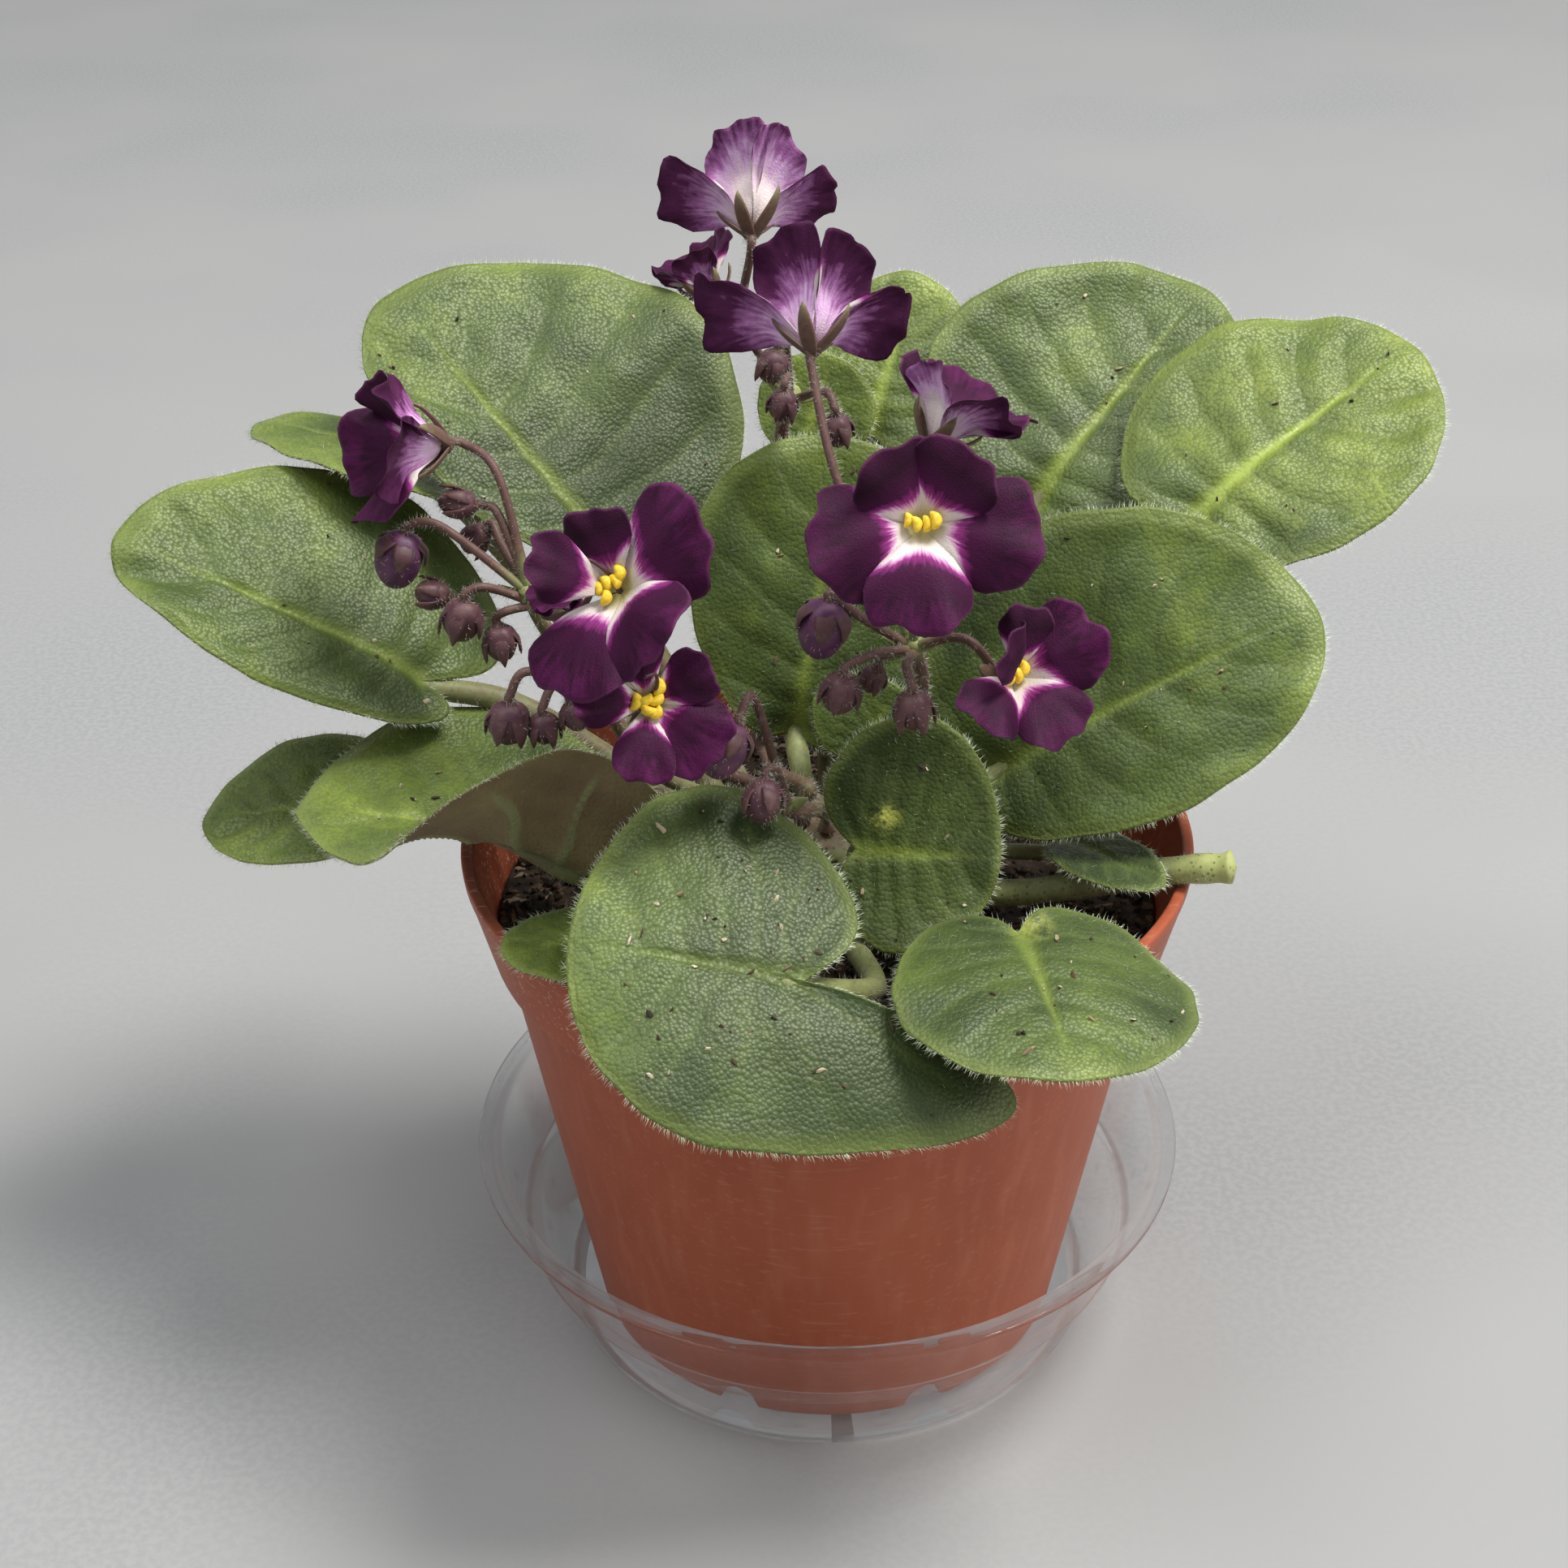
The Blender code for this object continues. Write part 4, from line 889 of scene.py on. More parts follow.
def grid_disk(cells):
    """A square grid drawn out to a disk: share of the way to the rim, and angle, for each point.

    x = u sqrt(1 - v^2 / 2) and y = v sqrt(1 - u^2 / 2) keep the cells nearly square.
    """
    u, v = np.meshgrid(np.linspace(-1, 1, cells + 1), np.linspace(-1, 1, cells + 1))
    x, y = (u * np.sqrt(1 - v**2 / 2)).ravel(), (v * np.sqrt(1 - u**2 / 2)).ravel()
    return np.hypot(x, y), np.arctan2(y, x)


def sheet_faces(rows, columns):
    """Faces of two stacked grids, upper then lower, joined by a wall round the edge."""
    count = rows * columns
    upper = strip_faces(rows, columns, closed=False)
    along, down = np.arange(columns - 1), np.arange(rows - 1) * columns
    edge = np.concatenate([along, columns - 1 + down, count - 1 - along, count - columns - down])
    after = np.roll(edge, -1)
    wall = np.stack([edge, edge + count, after + count, after], axis=1)
    return np.vstack([upper, upper[:, ::-1] + count, wall])


leaf_skin = leaf_finish()
for number, leaf in enumerate(LEAVES, 1):
    cells = 80 if leaf_axes(leaf)[0] > YOUNG_LEAF else 46
    upper, lower, normal, values = blade_sides(leaf, *grid_disk(cells))
    values = {name: np.tile(value, 2) for name, value in values.items()}
    values["under"] = np.repeat([0.0, 1.0], len(upper))
    # Painted light and shade: tone is set higher on the leaves that lie in more light, and each blade is
    # painted lighter towards its tip and shaded towards its base.
    values["tone"] = leaf["tone"] + values.pop("towards_tip") * leaf.get("tip_light", 0.25)
    values["bright_rib"] = np.maximum(values["under"], leaf["rib"]) * values["midrib"]
    points, faces = np.vstack([upper, lower]), sheet_faces(cells + 1, cells + 1).tolist()
    piece(f"leaf_blade_{number:02d}", points, faces, leaf_skin, f"leaf_{number:02d}", values)


# ---- leaf stalks --------------------------------------------------------------------------------------
# Fleshy petioles from the crown to each blade, where they run on under it as the midrib. They are pale
# green, flushed with purple-brown, and a little hollow on top. One was cut off above the rim of the pot.

def leaf_stalk_route(leaf):
    """Points from the crown, out and up to the blade's base, and on under the blade to a third of it."""
    length, *_, z_axis = leaf_axes(leaf)
    radius = 2.0 if length > YOUNG_LEAF else 1.4
    if leaf["crown"]:
        azimuth, height = radians(leaf["crown"][0]), leaf["crown"][1]
        out = np.array((cos(azimuth), sin(azimuth), 0))
        start = [out * (CROWN_RADIUS - 0.5) + (0, 0, height), out * (CROWN_RADIUS + 2.8) + (0, 0, height)]
    else:
        start = [np.array((4, 2, CROWN_TOP - 0.5)), np.array((4, 2, CROWN_TOP + 2.0))]
    under = np.array(leaf["base"]) - z_axis * (BLADE_THICKNESS + 1.6 + radius * 0.8)
    rib = [blade_point(leaf, np.array(share * length), np.array(0.0)) for share in (0.14, 0.34)]
    depths = (BLADE_THICKNESS + 1.6 + radius * 0.4, BLADE_THICKNESS + 1.3)
    sunk = [point - z_axis * depth for point, depth in zip(rib, depths)]
    return [*start, *leaf["via"], under, *sunk], radius


def stalk_part(path, radii, sides, tint, end_tints, speckled, groove=0.0):
    """A tube for gathered(), with a tint for each ring and one for each end point."""
    points, faces = tube(path, radii, sides=sides, groove=groove)[:2]
    return points, faces, {"tint": np.append(np.repeat(tint, sides), end_tints), "speckled": speckled}


# The hairs of a leaf stalk stop where it sinks into its blade, and those of the cut one before the cut.
LEAF_STALK_STEPS, LEAF_STALK_HAIRY, LEAF_STALK_SIDES = 46, 38, 12
CUT_STEPS, CUT_HAIRY, CUT_SIDES = 60, 55, 16
hairy_stalks = []
parts = []
for leaf in LEAVES:
    route, radius = leaf_stalk_route(leaf)
    path = spline(route, LEAF_STALK_STEPS)
    share = np.linspace(0, 1, LEAF_STALK_STEPS)
    radii = radius * (1.25 - 0.3 * smooth_step(0, 0.12, share) - 0.70 * smooth_step(0.72, 1.0, share))
    radii = radii * (1 + 0.04 * np.sin(share * 23 + radius))
    flush = 0.22 + 0.25 * np.sin(share * 3 + len(parts)) ** 2
    parts.append(stalk_part(path, radii, LEAF_STALK_SIDES, flush, (0.3, 0.1), speckled=0.15, groove=0.10))
    hairy_stalks.append((path[:LEAF_STALK_HAIRY], radii[:LEAF_STALK_HAIRY], 1.1, 10))
points, faces, values = gathered(parts)
piece("leaf_stalks", points, faces, stalk_skin, attributes=values)

CUT_AZIMUTH = radians(-24)
out = np.array((cos(CUT_AZIMUTH), sin(CUT_AZIMUTH), 0)) * (CROWN_RADIUS - 0.5) + (0, 0, 87.5)
path = spline([out, (26, -11, 87.6), (44, -15.5, 92.5), (55, -18.5, 96.4), (63, -20.8, 98.2)], CUT_STEPS)
share = np.linspace(0, 1, CUT_STEPS)
radii = 2.15 + 0.25 * share + 0.35 * smooth_step(0.93, 1.0, share) + 0.12 * np.sin(share * 31)
points, faces, outward = tube(path, radii, sides=CUT_SIDES, groove=0.08)
ragged = lattice_noise(points[:, 1], points[:, 2], 0.9, 11) * smooth_step(62.0, 63.2, points[:, 0])
points = points + outward * ragged[:, None] * 0.6
pale = np.append(np.repeat(0.30 - 0.30 * smooth_step(0.55, 0.95, share), CUT_SIDES), (0.3, 0.0))
values = {"tint": pale, "speckled": np.full(len(points), 0.6)}
piece("cut_leaf_stalk", points, faces, stalk_skin, "cut_petiole", values)
hairy_stalks.append((path[:CUT_HAIRY], radii[:CUT_HAIRY], 0.9, 9))


# ---- flower stalks ------------------------------------------------------------------------------------
# Slender hairy stalks rise from the crown and fork into pedicels, one to each flower or bud. They are
# purple-brown, and yellow-green at the fork, where two small bracts sit.
#
# A flower: its throat, the way it looks, the way of its upper petals, its radius, how steeply its petals
# rise (0 flat, 1 a funnel), and how far its white star reaches. pale is how far the pale base reaches on the
# backs, partly their own colour and partly painted light shining through the upper petals, and roll turns
# the upper edges of the side petals forward (radians). Each petal has its angle from the upper way, its half
# angle, its size, its layer in front of the others, and its share of the rise.
# A stalk: its route, its flowers with a point their pedicel passes, and its buds with the bud's centre,
# width, length, axis and the point its pedicel passes.

FLOWERS = [
    dict(
        throat=(-61, 5, 160), looks=(-0.85, -0.35, 0.15), upper=(-0.2, 0.2, 1), radius=15.5, rise=0.75,
        star=0.16, petals=[(36, 33, 0.9, -0.5, 1), (-36, 33, 0.9, -0.7, 1), (108, 40, 1, 0.1, 1),
                           (-108, 38, 1, 0.3, 1), (180, 40, 1.02, 0.6, 1)],
    ),
    dict(
        throat=(-31, -29, 152), looks=(-0.40, -0.70, 0.60), upper=(-0.3, 0.6, 0.7), radius=17.5, rise=0.25,
        star=0.22, petals=[(12, 40, 0.70, -0.4, 2.2), (-62, 30, 0.80, 0.6, 4.2), (82, 44, 1.06, 0.2, 0.8),
                           (-140, 42, 1.0, 0.9, 0.8), (152, 40, 0.98, 1.4, 1.2)],
    ),
    dict(
        throat=(-26, -36, 137), looks=(0.15, -0.85, 0.50), upper=(0.4, 0.5, 0.8), radius=13, rise=0.3,
        star=0.14, petals=[(40, 34, 0.85, -0.5, 1.4), (-38, 30, 0.80, -0.7, 1.6), (105, 42, 1.05, 0.1, 0.7),
                           (-112, 32, 0.92, 0.3, 1), (168, 32, 1.0, 0.6, 0.9)],
    ),
    dict(
        throat=(-2, 4, 178), looks=(0.02, 0.62, 0.78), upper=(0, -1, 0.4),
        radius=16, rise=0.70, pale=0.1, roll=0.8,
        star=0.2, petals=[(30, 33, 0.98, 0.9, 1.45), (-38, 30, 0.92, 0.2, 1.4), (86, 30, 1.12, 0, 0.4),
                          (-88, 34, 0.95, 0.3, 0.45), (180, 40, 0.8, -0.6, 1.7)],
    ),
    dict(
        throat=(-11, 27, 188.5), looks=(0.02, 0.62, 0.78), upper=(0, -1, 0.4),
        radius=14, rise=0.65, pale=0.8, roll=0.8,
        star=0.2, petals=[(28, 34, 0.98, 0.6, 1.55), (-34, 29, 0.98, 0.2, 1.5), (80, 34, 1.08, 0, 0.5),
                          (-90, 31, 1.05, 0.3, 0.45), (180, 40, 0.8, -0.6, 1.7)],
    ),
    dict(
        throat=(-19.5, 62, 165), looks=(-0.40, 0.30, 0.85), upper=(-0.5, 0.3, 1), radius=10.5, rise=0.8,
        star=0.2, petals=[(36, 34, 0.95, -0.5, 1), (-36, 34, 0.95, -0.7, 1), (108, 40, 1, 0.1, 1),
                          (-108, 38, 1, 0.3, 1), (180, 40, 1, 0.6, 1)],
    ),
    dict(
        throat=(13, -28, 161), looks=(0.02, -0.86, 0.50), upper=(0, 0.5, 0.86), radius=17.2, rise=0.15,
        star=0.21, petals=[(36, 50, 0.76, -0.4, 3.2), (-34, 50, 0.75, -0.8, 3.2), (103, 42, 0.98, 0.1, 1),
                           (-104, 44, 1.0, 0.3, 1), (182, 40, 0.94, 1.0, 1.6)],
    ),
    dict(
        throat=(17, -5, 166), looks=(0.55, 0.20, 0.80), upper=(-0.6, 0, 0.8),
        radius=13.5, rise=0.65, pale=0.9,
        star=0.2, petals=[(36, 33, 0.9, -0.5, 1), (-36, 33, 0.9, -0.7, 1.2), (108, 38, 1.05, 0.1, 1),
                          (-108, 38, 1.05, 0.3, 1), (180, 40, 1.02, 0.6, 1)],
    ),
    dict(
        throat=(27, -30, 138), looks=(0.25, -0.75, 0.60), upper=(-0.3, 0.6, 0.8), radius=13, rise=0.4,
        star=0.18, petals=[(24, 34, 0.80, -0.4, 1.2), (-50, 40, 0.85, 1.4, 2.6), (80, 42, 1.08, 0.1, 0.9),
                           (-122, 34, 1.0, 0.3, 1.3), (160, 40, 1.04, 0.8, 0.8)],
    ),
    dict(
        throat=(-39, -14, 143), looks=(-0.30, -0.50, 0.80), upper=(0, 0.8, 0.6), radius=7, rise=0.8,
        star=0.2, petals=[(36, 33, 0.9, -0.5, 1), (-36, 33, 0.9, -0.7, 1), (108, 38, 1, 0.1, 1),
                          (-108, 38, 1, 0.3, 1), (180, 40, 1.02, 0.6, 1)],
    ),
]
STALKS = [
    dict(
        route=[(-7, 1, 96.6), (-7.5, 1, 99.5), (-20, 0, 106), (-36, -1, 118), (-44, -3, 133), (-46, -4, 140)],
        flowers=[(0, (-50, 2, 156))],
        buds=[
            ((-66, 0, 143), 7.6, 9.0, (-0.3, 0, -0.95), (-59, -1, 149)),
            ((-56.5, 2, 151.5), 4.6, 6.0, (-0.95, 0, 0.1), (-50, 0, 150)),
            ((-54.5, 4, 144.5), 4.4, 5.5, (-0.7, 0.1, -0.7), (-50, 1, 144.5)),
            ((-61, -2, 138), 4.6, 5.5, (-0.95, 0, 0.2), (-53, -4, 140)),
            ((-56, -7, 136), 6.2, 7.0, (-0.2, 0, -0.95), (-52, -6, 141)),
            ((-50.5, -6, 131.5), 5.4, 6.0, (0.1, -0.1, -0.95), (-49, -6, 137)),
        ],
    ),
    dict(
        route=[
            (-4, -3, 96.6), (-4.4, -3.3, 99.5), (-13, -10, 104),
            (-26, -17, 114), (-33, -19, 126), (-35, -19, 130),
        ],
        flowers=[(1, (-33, -22, 141)), (2, (-31, -28, 131)), (9, (-38, -15, 137))],
        buds=[
            ((-47.5, -27, 129), 6.4, 6.8, (-0.1, 0, -0.95), (-44, -25, 136.5)),
            ((-42.3, -27, 128), 4.6, 5.0, (0, 0, -1), (-40, -24, 134)),
            ((-37.7, -26, 129.5), 4.4, 4.8, (0.2, 0, -0.95), (-37.5, -23, 133.5)),
        ],
    ),
    dict(
        route=[(0, -5.5, 96.6), (0, -5.8, 99.5), (-2, -13, 105), (-5, -22, 110), (-7, -25, 113)],
        flowers=[],
        buds=[
            ((-15.5, -35, 128.5), 6.8, 8.6, (-0.4, -0.3, -0.8), (-11, -30, 134)),
            ((-10, -36, 120.5), 6.0, 6.6, (-0.1, -0.5, -0.8), (-8, -32, 123)),
        ],
    ),
    dict(
        route=[
            (6, -1.5, 96.6), (6.2, -1.5, 99.5), (11, -1.5, 108),
            (14, -4, 117), (14.5, -11, 127), (12.5, -20, 138),
        ],
        flowers=[(6, (12.5, -20, 152)), (8, (20, -25, 141)), (7, (15, -12, 155)), (3, (2, -10, 158))],
        buds=[
            ((-1, -25, 143), 7.4, 9.0, (-0.2, 0, -0.95), (5, -24, 144)),
            ((1.5, -29, 134.5), 5.8, 6.6, (-0.2, 0, -0.95), (7, -27, 140)),
            ((12, -33.5, 134), 5.6, 6.2, (0.1, 0, -0.95), (11, -29, 139)),
            ((6.5, -21, 132.5), 4.0, 4.6, (-0.3, 0.1, -0.9), (8, -22, 137)),
        ],
    ),
    dict(
        route=[
            (-3, 5, 96.6), (-3.2, 5.2, 98.5), (-9.5, 15, 98),
            (-13, 30, 109), (-8, 37, 135), (-6.5, 37.5, 149), (-5, 30, 158),
        ],
        flowers=[(4, (-12.5, 28, 170)), (5, (-9, 46, 163))],
        buds=[
            ((-8, 22, 165.5), 5.0, 5.6, (-0.3, 0, -0.9), (-6, 23, 170)),
            ((-6.5, 18, 160.5), 4.6, 5.2, (-0.1, 0, -0.95), (-5.5, 21, 164)),
            ((2, 16, 157), 5.0, 5.4, (0.1, 0, -0.95), (0, 20, 162)),
        ],
    ),
]
STALK_RADIUS = 1.25
PEDICEL_RADIUS = 0.7
CALYX_RADIUS = 1.6
THROAT_DEPTH = 2.5
STRAP_SIDES = 8


def flower_axes(flower):
    """The way the flower looks, the way of its upper petals, and the way to its left."""
    looks = unit(np.array(flower["looks"], float))
    side = unit(np.cross(flower["upper"], looks))
    return looks, np.cross(looks, side), side


def strap(path, widths, thickness, up):
    """A thin pointed strip, such as a sepal: the tube's formula with its ring flattened across up."""
    tangent = unit(np.gradient(path, axis=0))
    across = unit(np.cross(tangent, up))
    out = np.cross(across, tangent)
    turn = full_turn(STRAP_SIDES)
    wide = across[:, None] * np.cos(turn)[None, :, None] * widths[:, None, None]
    thick = out[:, None] * np.sin(turn)[None, :, None] * np.minimum(thickness, widths)[:, None, None]
    points = np.vstack([(path[:, None] + wide + thick).reshape(-1, 3), path[0], path[-1]])
    return points, ring_faces(len(path), STRAP_SIDES, outwards=False)


def sepals(base, axis, reach, length, width, spread, seed, tint=1.1):
    """Five pointed lobes round a calyx: each leaves the base, goes out to reach, and on along the axis."""
    rng = np.random.default_rng(seed)
    aside = unit(np.cross(axis, (0.3, 0.2, 0.9)))
    above = np.cross(axis, aside)
    made = []
    for lobe in range(5):
        angle = 2 * pi * lobe / 5 + rng.uniform(-0.15, 0.15)
        out = aside * cos(angle) + above * sin(angle)
        share = np.linspace(0, 1, 9)[:, None]
        aside_by = reach * np.sin(np.minimum(share * spread, pi / 2))
        path = base + out * aside_by + axis * length * share * rng.uniform(0.85, 1.1)
        widths = width * np.sin(pi * (0.12 + 0.88 * share[:, 0]) ** 0.8) ** 0.8 + 0.06
        points, faces = strap(path, widths, 0.28, out)
        tints = tint - 0.30 * share[:, 0]
        tints = np.append(np.repeat(tints, STRAP_SIDES), tints[[0, -1]])
        made.append((points, faces, {"tint": tints, "speckled": 0.3}))
    return made


STALK_STEPS, STALK_SIDES = 64, 12
PEDICEL_STEPS, PEDICEL_SIDES = 30, 9
BRACT_STEPS = 9
bud_designs = []
for number, stalk in enumerate(STALKS, 1):
    path = spline(stalk["route"], STALK_STEPS)
    share = np.linspace(0, 1, STALK_STEPS)
    radii = STALK_RADIUS * (1.2 - 0.25 * smooth_step(0, 0.2, share) + 0.30 * smooth_step(0.93, 1.0, share))
    tint = 0.62 + 0.2 * np.sin(share * 5 + number) - 0.45 * smooth_step(0.90, 1.0, share)
    parts = [stalk_part(path, radii, STALK_SIDES, tint, (0.5, 0.1), speckled=0.4)]
    hairy_stalks.append((path, radii, 1.0, 12))
    fork = np.array(stalk["route"][-1], float)
    below = unit(np.array(stalk["route"][-2]) - fork)
    heads = len(stalk["flowers"]) + len(stalk["buds"])
    routes = []
    for count, (flower_index, passes) in enumerate(stalk["flowers"]):
        flower = FLOWERS[flower_index]
        looks = flower_axes(flower)[0]
        start = fork + below * (0.8 + 3.0 * count / heads)
        end = np.array(flower["throat"]) - looks * (THROAT_DEPTH + 0.6)
        routes.append(([start, passes, end - looks * 3.0, end], CALYX_RADIUS))
    for count, (centre, width, length, axis, passes) in enumerate(stalk["buds"], len(routes)):
        axis = unit(np.array(axis, float))
        start = fork + below * (0.8 + 3.0 * count / heads)
        end = np.array(centre) - axis * (length / 2 - 0.3)
        routes.append(([start, passes, end - axis * 1.5, end], 1.15))
        bud_designs.append((np.array(centre, float), width, length, axis))
    for route, end_radius in routes:
        path = spline(route, PEDICEL_STEPS)
        share = np.linspace(0, 1, PEDICEL_STEPS)
        radii = PEDICEL_RADIUS * (1.15 - 0.15 * smooth_step(0, 0.2, share))
        radii = radii + (end_radius - PEDICEL_RADIUS) * smooth_step(0.86, 1.0, share)
        tint = 0.80 - 0.55 * (1 - smooth_step(0, 0.2, share))
        parts.append(stalk_part(path, radii, PEDICEL_SIDES, tint, (0.2, 0.8), speckled=0.3))
        hairy_stalks.append((path, radii, 1.0, 9))
    for way in (1, -1):
        out = unit(np.cross(below, (0.2, 0.9, 0.1))) * way
        share = np.linspace(0, 1, BRACT_STEPS)[:, None]
        bract = fork + below * 1.2 + out * share * 4.6 - below * share**2 * 2.4
        widths = 0.95 * np.sin(pi * (0.15 + 0.85 * share[:, 0])) + 0.06
        points, faces = strap(bract, widths, 0.3, below)
        parts.append((points, faces, {"tint": np.full(len(points), 0.12), "speckled": 0.1}))
    points, faces, values = gathered(parts)
    piece(f"forked_stalk_{number}", points, faces, stalk_skin, f"flower_stalk_{number}", values)


# ---- flowers ------------------------------------------------------------------------------------------
# Five soft petals joined round a short throat, the two upper ones smaller. They are velvety, nearly black
# purple in the middle of each lobe and magenta at the rim, with a white star that runs out between the
# lobes and a yellow-green throat. The side and lower lobes carry a painted sheen that turns them brighter
# magenta towards the rim. Their backs are mottled lilac, white at the base, and on some flowers the upper
# backs are paler still, partly their own colour and partly painted light shining through them.

PETAL_THICKNESS = 0.22


def petal(flower, seed, centre_angle, half_angle, size, layer, steep):
    """One lobe: u goes across it and t from the throat to its rim.

    The rim lies at radius R (0.42 + 0.58 (1 - |u|^2.6)^0.5) and an angle u half_angle from its middle. The
    lobe dips into the throat, tilts up as a whole by its slope, arches across, and ripples to the rim.
    """
    rng = np.random.default_rng(seed)
    looks, upper, side = flower_axes(flower)
    u, t = np.meshgrid(np.linspace(-1, 1, 25), np.linspace(0, 1, 22))
    radius = flower["radius"] * size * rng.uniform(0.94, 1.04)
    phase, twist = rng.uniform(0, 6.3), rng.uniform(-0.10, 0.10)
    notch = 1 - 0.045 * np.exp(-(((u - rng.uniform(-0.5, 0.5)) / 0.13) ** 2))
    rim = radius * (0.42 + 0.58 * np.sqrt(1 - np.abs(u) ** 2.6)) * notch
    rim = rim * (1 + 0.028 * np.sin(7 * u + phase) + 0.016 * np.sin(15 * u + 2 * phase))
    reach = 0.5 + (rim - 0.5) * t
    share = reach / radius
    angle = u * radians(half_angle) * (1 + 0.12 * t) + twist * t
    forward, sideways = reach * np.cos(angle), reach * np.sin(angle)
    slope = min(1.35, flower["rise"] * steep) * smooth_step(-0.15, 0.45, share)
    depth = THROAT_DEPTH * np.maximum(0, 1 - share / 0.4) ** 1.3
    ripple = 0.055 * np.sin(4.5 * u + phase) + 0.045 * np.sin(10 * u + 1.7 * phase) * t**3
    ripple = share**2 * radius * ripple
    arch = -0.10 * radius * share * u**2 + 0.05 * radius * share * np.exp(-((u / 0.25) ** 2)) * (1 - t)
    curl = -0.10 * radius * t**4 * rng.uniform(0.0, 1.0)
    above = ripple + arch + curl + layer * smooth_step(0.1, 0.5, share)
    ahead = forward * np.cos(slope) - above * np.sin(slope)
    height = forward * np.sin(slope) + above * np.cos(slope) - depth
    middle = radians(centre_angle)
    away, aside = cos(middle) * upper + sin(middle) * side, cos(middle) * side - sin(middle) * upper
    aside = unit(aside - sin(middle) * sin(flower.get("roll", 0)) * looks)
    parts = ((ahead, away), (sideways, aside), (height, looks))
    front = sum(np.multiply.outer(distance, way) for distance, way in parts) + np.array(flower["throat"])
    normal = unit(np.cross(np.gradient(front, axis=0), np.gradient(front, axis=1)))
    normal = normal * np.sign(np.sum(normal * looks, axis=-1, keepdims=True).mean())
    back = front - normal * PETAL_THICKNESS * (1 - 0.6 * t[..., None])
    points = np.vstack([front.reshape(-1, 3), back.reshape(-1, 3)])
    faces = sheet_faces(*u.shape)
    first = points[faces[0]]
    facing = np.dot(np.cross(first[1] - first[0], first[3] - first[0]), normal[0, 0])
    faces = faces if facing > 0 else faces[:, ::-1]
    # Painted sheen: little on the upper petals and much on the side and lower ones, as if they caught more
    # light.
    sheen_lit = rng.uniform(0.0, 0.35) if abs(centre_angle) < 75 else rng.uniform(0.45, 1.0)
    values = {"out": np.tile(t.ravel(), 2), "across": np.tile(np.abs(u).ravel(), 2)}
    values["reach"] = np.tile(share.ravel(), 2)
    values["back"] = np.repeat([0.0, 1.0], u.size)
    values["sheen_lit"] = np.full(len(points), sheen_lit)
    values["star"] = np.full(len(points), flower["star"])
    values["lane"] = np.tile(MM * radius * radians(half_angle) * u.ravel() + 0.01 * phase, 2)
    values["pale"] = np.full(len(points), flower.get("pale", 0) * (1.0 if abs(centre_angle) < 75 else 0.3))
    return points, faces.tolist(), values


def petal_finish():
    """Velvety petal skin, from the attributes: how far out, how far across, front or back, and how much
    painted sheen.
    """
    sheen = {"Sheen_Weight": 0.03, "Sheen_Roughness": 0.35, "Sheen_Tint": (0.95, 0.65, 0.95, 1)}
    material, shader, s, places = new_finish("violet_petal", Specular_IOR_Level=0.12, **sheen)
    out, across, reach = s.attribute("out"), s.attribute("across"), s.attribute("reach")
    back, sheen_lit = s.attribute("back"), s.attribute("sheen_lit")
    clouds = s.noise(places, 3.5, detail=4.0, roughness=0.65)
    grain = s.cells(places, 0.3)
    star = s.attribute("star")
    lanes = s.node("ShaderNodeCombineXYZ", {0: s.attribute("lane"), 1: reach * 0.004, 2: star * 0.1})
    streaks = s.noise(lanes, 0.9, detail=2.0)
    edge = reach - star - across**2.5 * 0.34 + (clouds - 0.5) * 0.10 + (streaks - 0.5) * 0.16
    front_stops = [
        (0.0, (0.66, 0.59, 0.55)), (0.05, (0.60, 0.30, 0.50)), (0.12, (0.25, 0.03, 0.18)),
        (0.24, (0.052, 0.005, 0.036)), (0.60, (0.020, 0.003, 0.013)), (1.0, (0.040, 0.005, 0.027)),
    ]
    front = s.node("ShaderNodeValToRGB", {0: edge * 1.25}, stops=front_stops)
    # Painted sheen: the lobes with much of it turn brighter magenta in patches towards the rim.
    bright = (sheen_lit * edge.ramp(0.15, 0.75) * (clouds * 0.6 + streaks * 0.6).ramp(0.35, 0.85)) * 0.8
    front = bright.mix(front, (0.11, 0.010, 0.078))
    front = (out.ramp(0.955, 1.0) * 0.35).mix(front, (0.16, 0.05, 0.12))
    front = (1 - reach.ramp(0.06, 0.24)).mix(front, (0.52, 0.48, 0.19))
    # pale widens the pale base on the backs: partly their own colour, partly painted light shining through
    # the upper petals.
    pale = s.attribute("pale")
    fade = reach * 1.05 - pale * 0.45 + (clouds - 0.5) * 0.5 + (streaks - 0.5) * 0.5 + across * 0.10
    back_stops = [
        (0.0, (0.84, 0.72, 0.70)), (0.28, (0.78, 0.50, 0.78)), (0.48, (0.44, 0.17, 0.42)),
        (0.70, (0.11, 0.022, 0.085)), (1.0, (0.055, 0.010, 0.040)),
    ]
    rear = s.node("ShaderNodeValToRGB", {0: fade}, stops=back_stops)
    colour = back.mix(front, rear)
    rough = 0.55 + grain * 0.2 - sheen_lit * 0.08
    plug(shader, Base_Color=colour, Roughness=rough, Normal=s.bump(clouds * 0.6 + grain * 0.4, 0.45, 0.25))
    return material


petal_velvet = petal_finish()
for number, flower in enumerate(FLOWERS, 1):
    petals = [petal(flower, number * 10 + count, *shape) for count, shape in enumerate(flower["petals"])]
    points, faces, values = gathered(petals)
    piece(f"flower_{number:02d}", points, faces, petal_velvet, f"corolla_{number:02d}", values)

# Green-brown calyx lobes hold each flower from behind.
calyx = []
for number, flower in enumerate(FLOWERS, 1):
    looks = flower_axes(flower)[0]
    base = np.array(flower["throat"]) - looks * (THROAT_DEPTH + 1.6)
    size = 0.55 + 0.45 * flower["radius"] / 18
    lean = flower["rise"]
    calyx += sepals(base, looks, 6.6 * size, 7.6 * size * (0.3 + lean), 1.25 * size, 1.5, number, tint=0.78)
points, faces, values = gathered(calyx)
piece("flower_calyx", points, faces, stalk_skin, attributes=values)
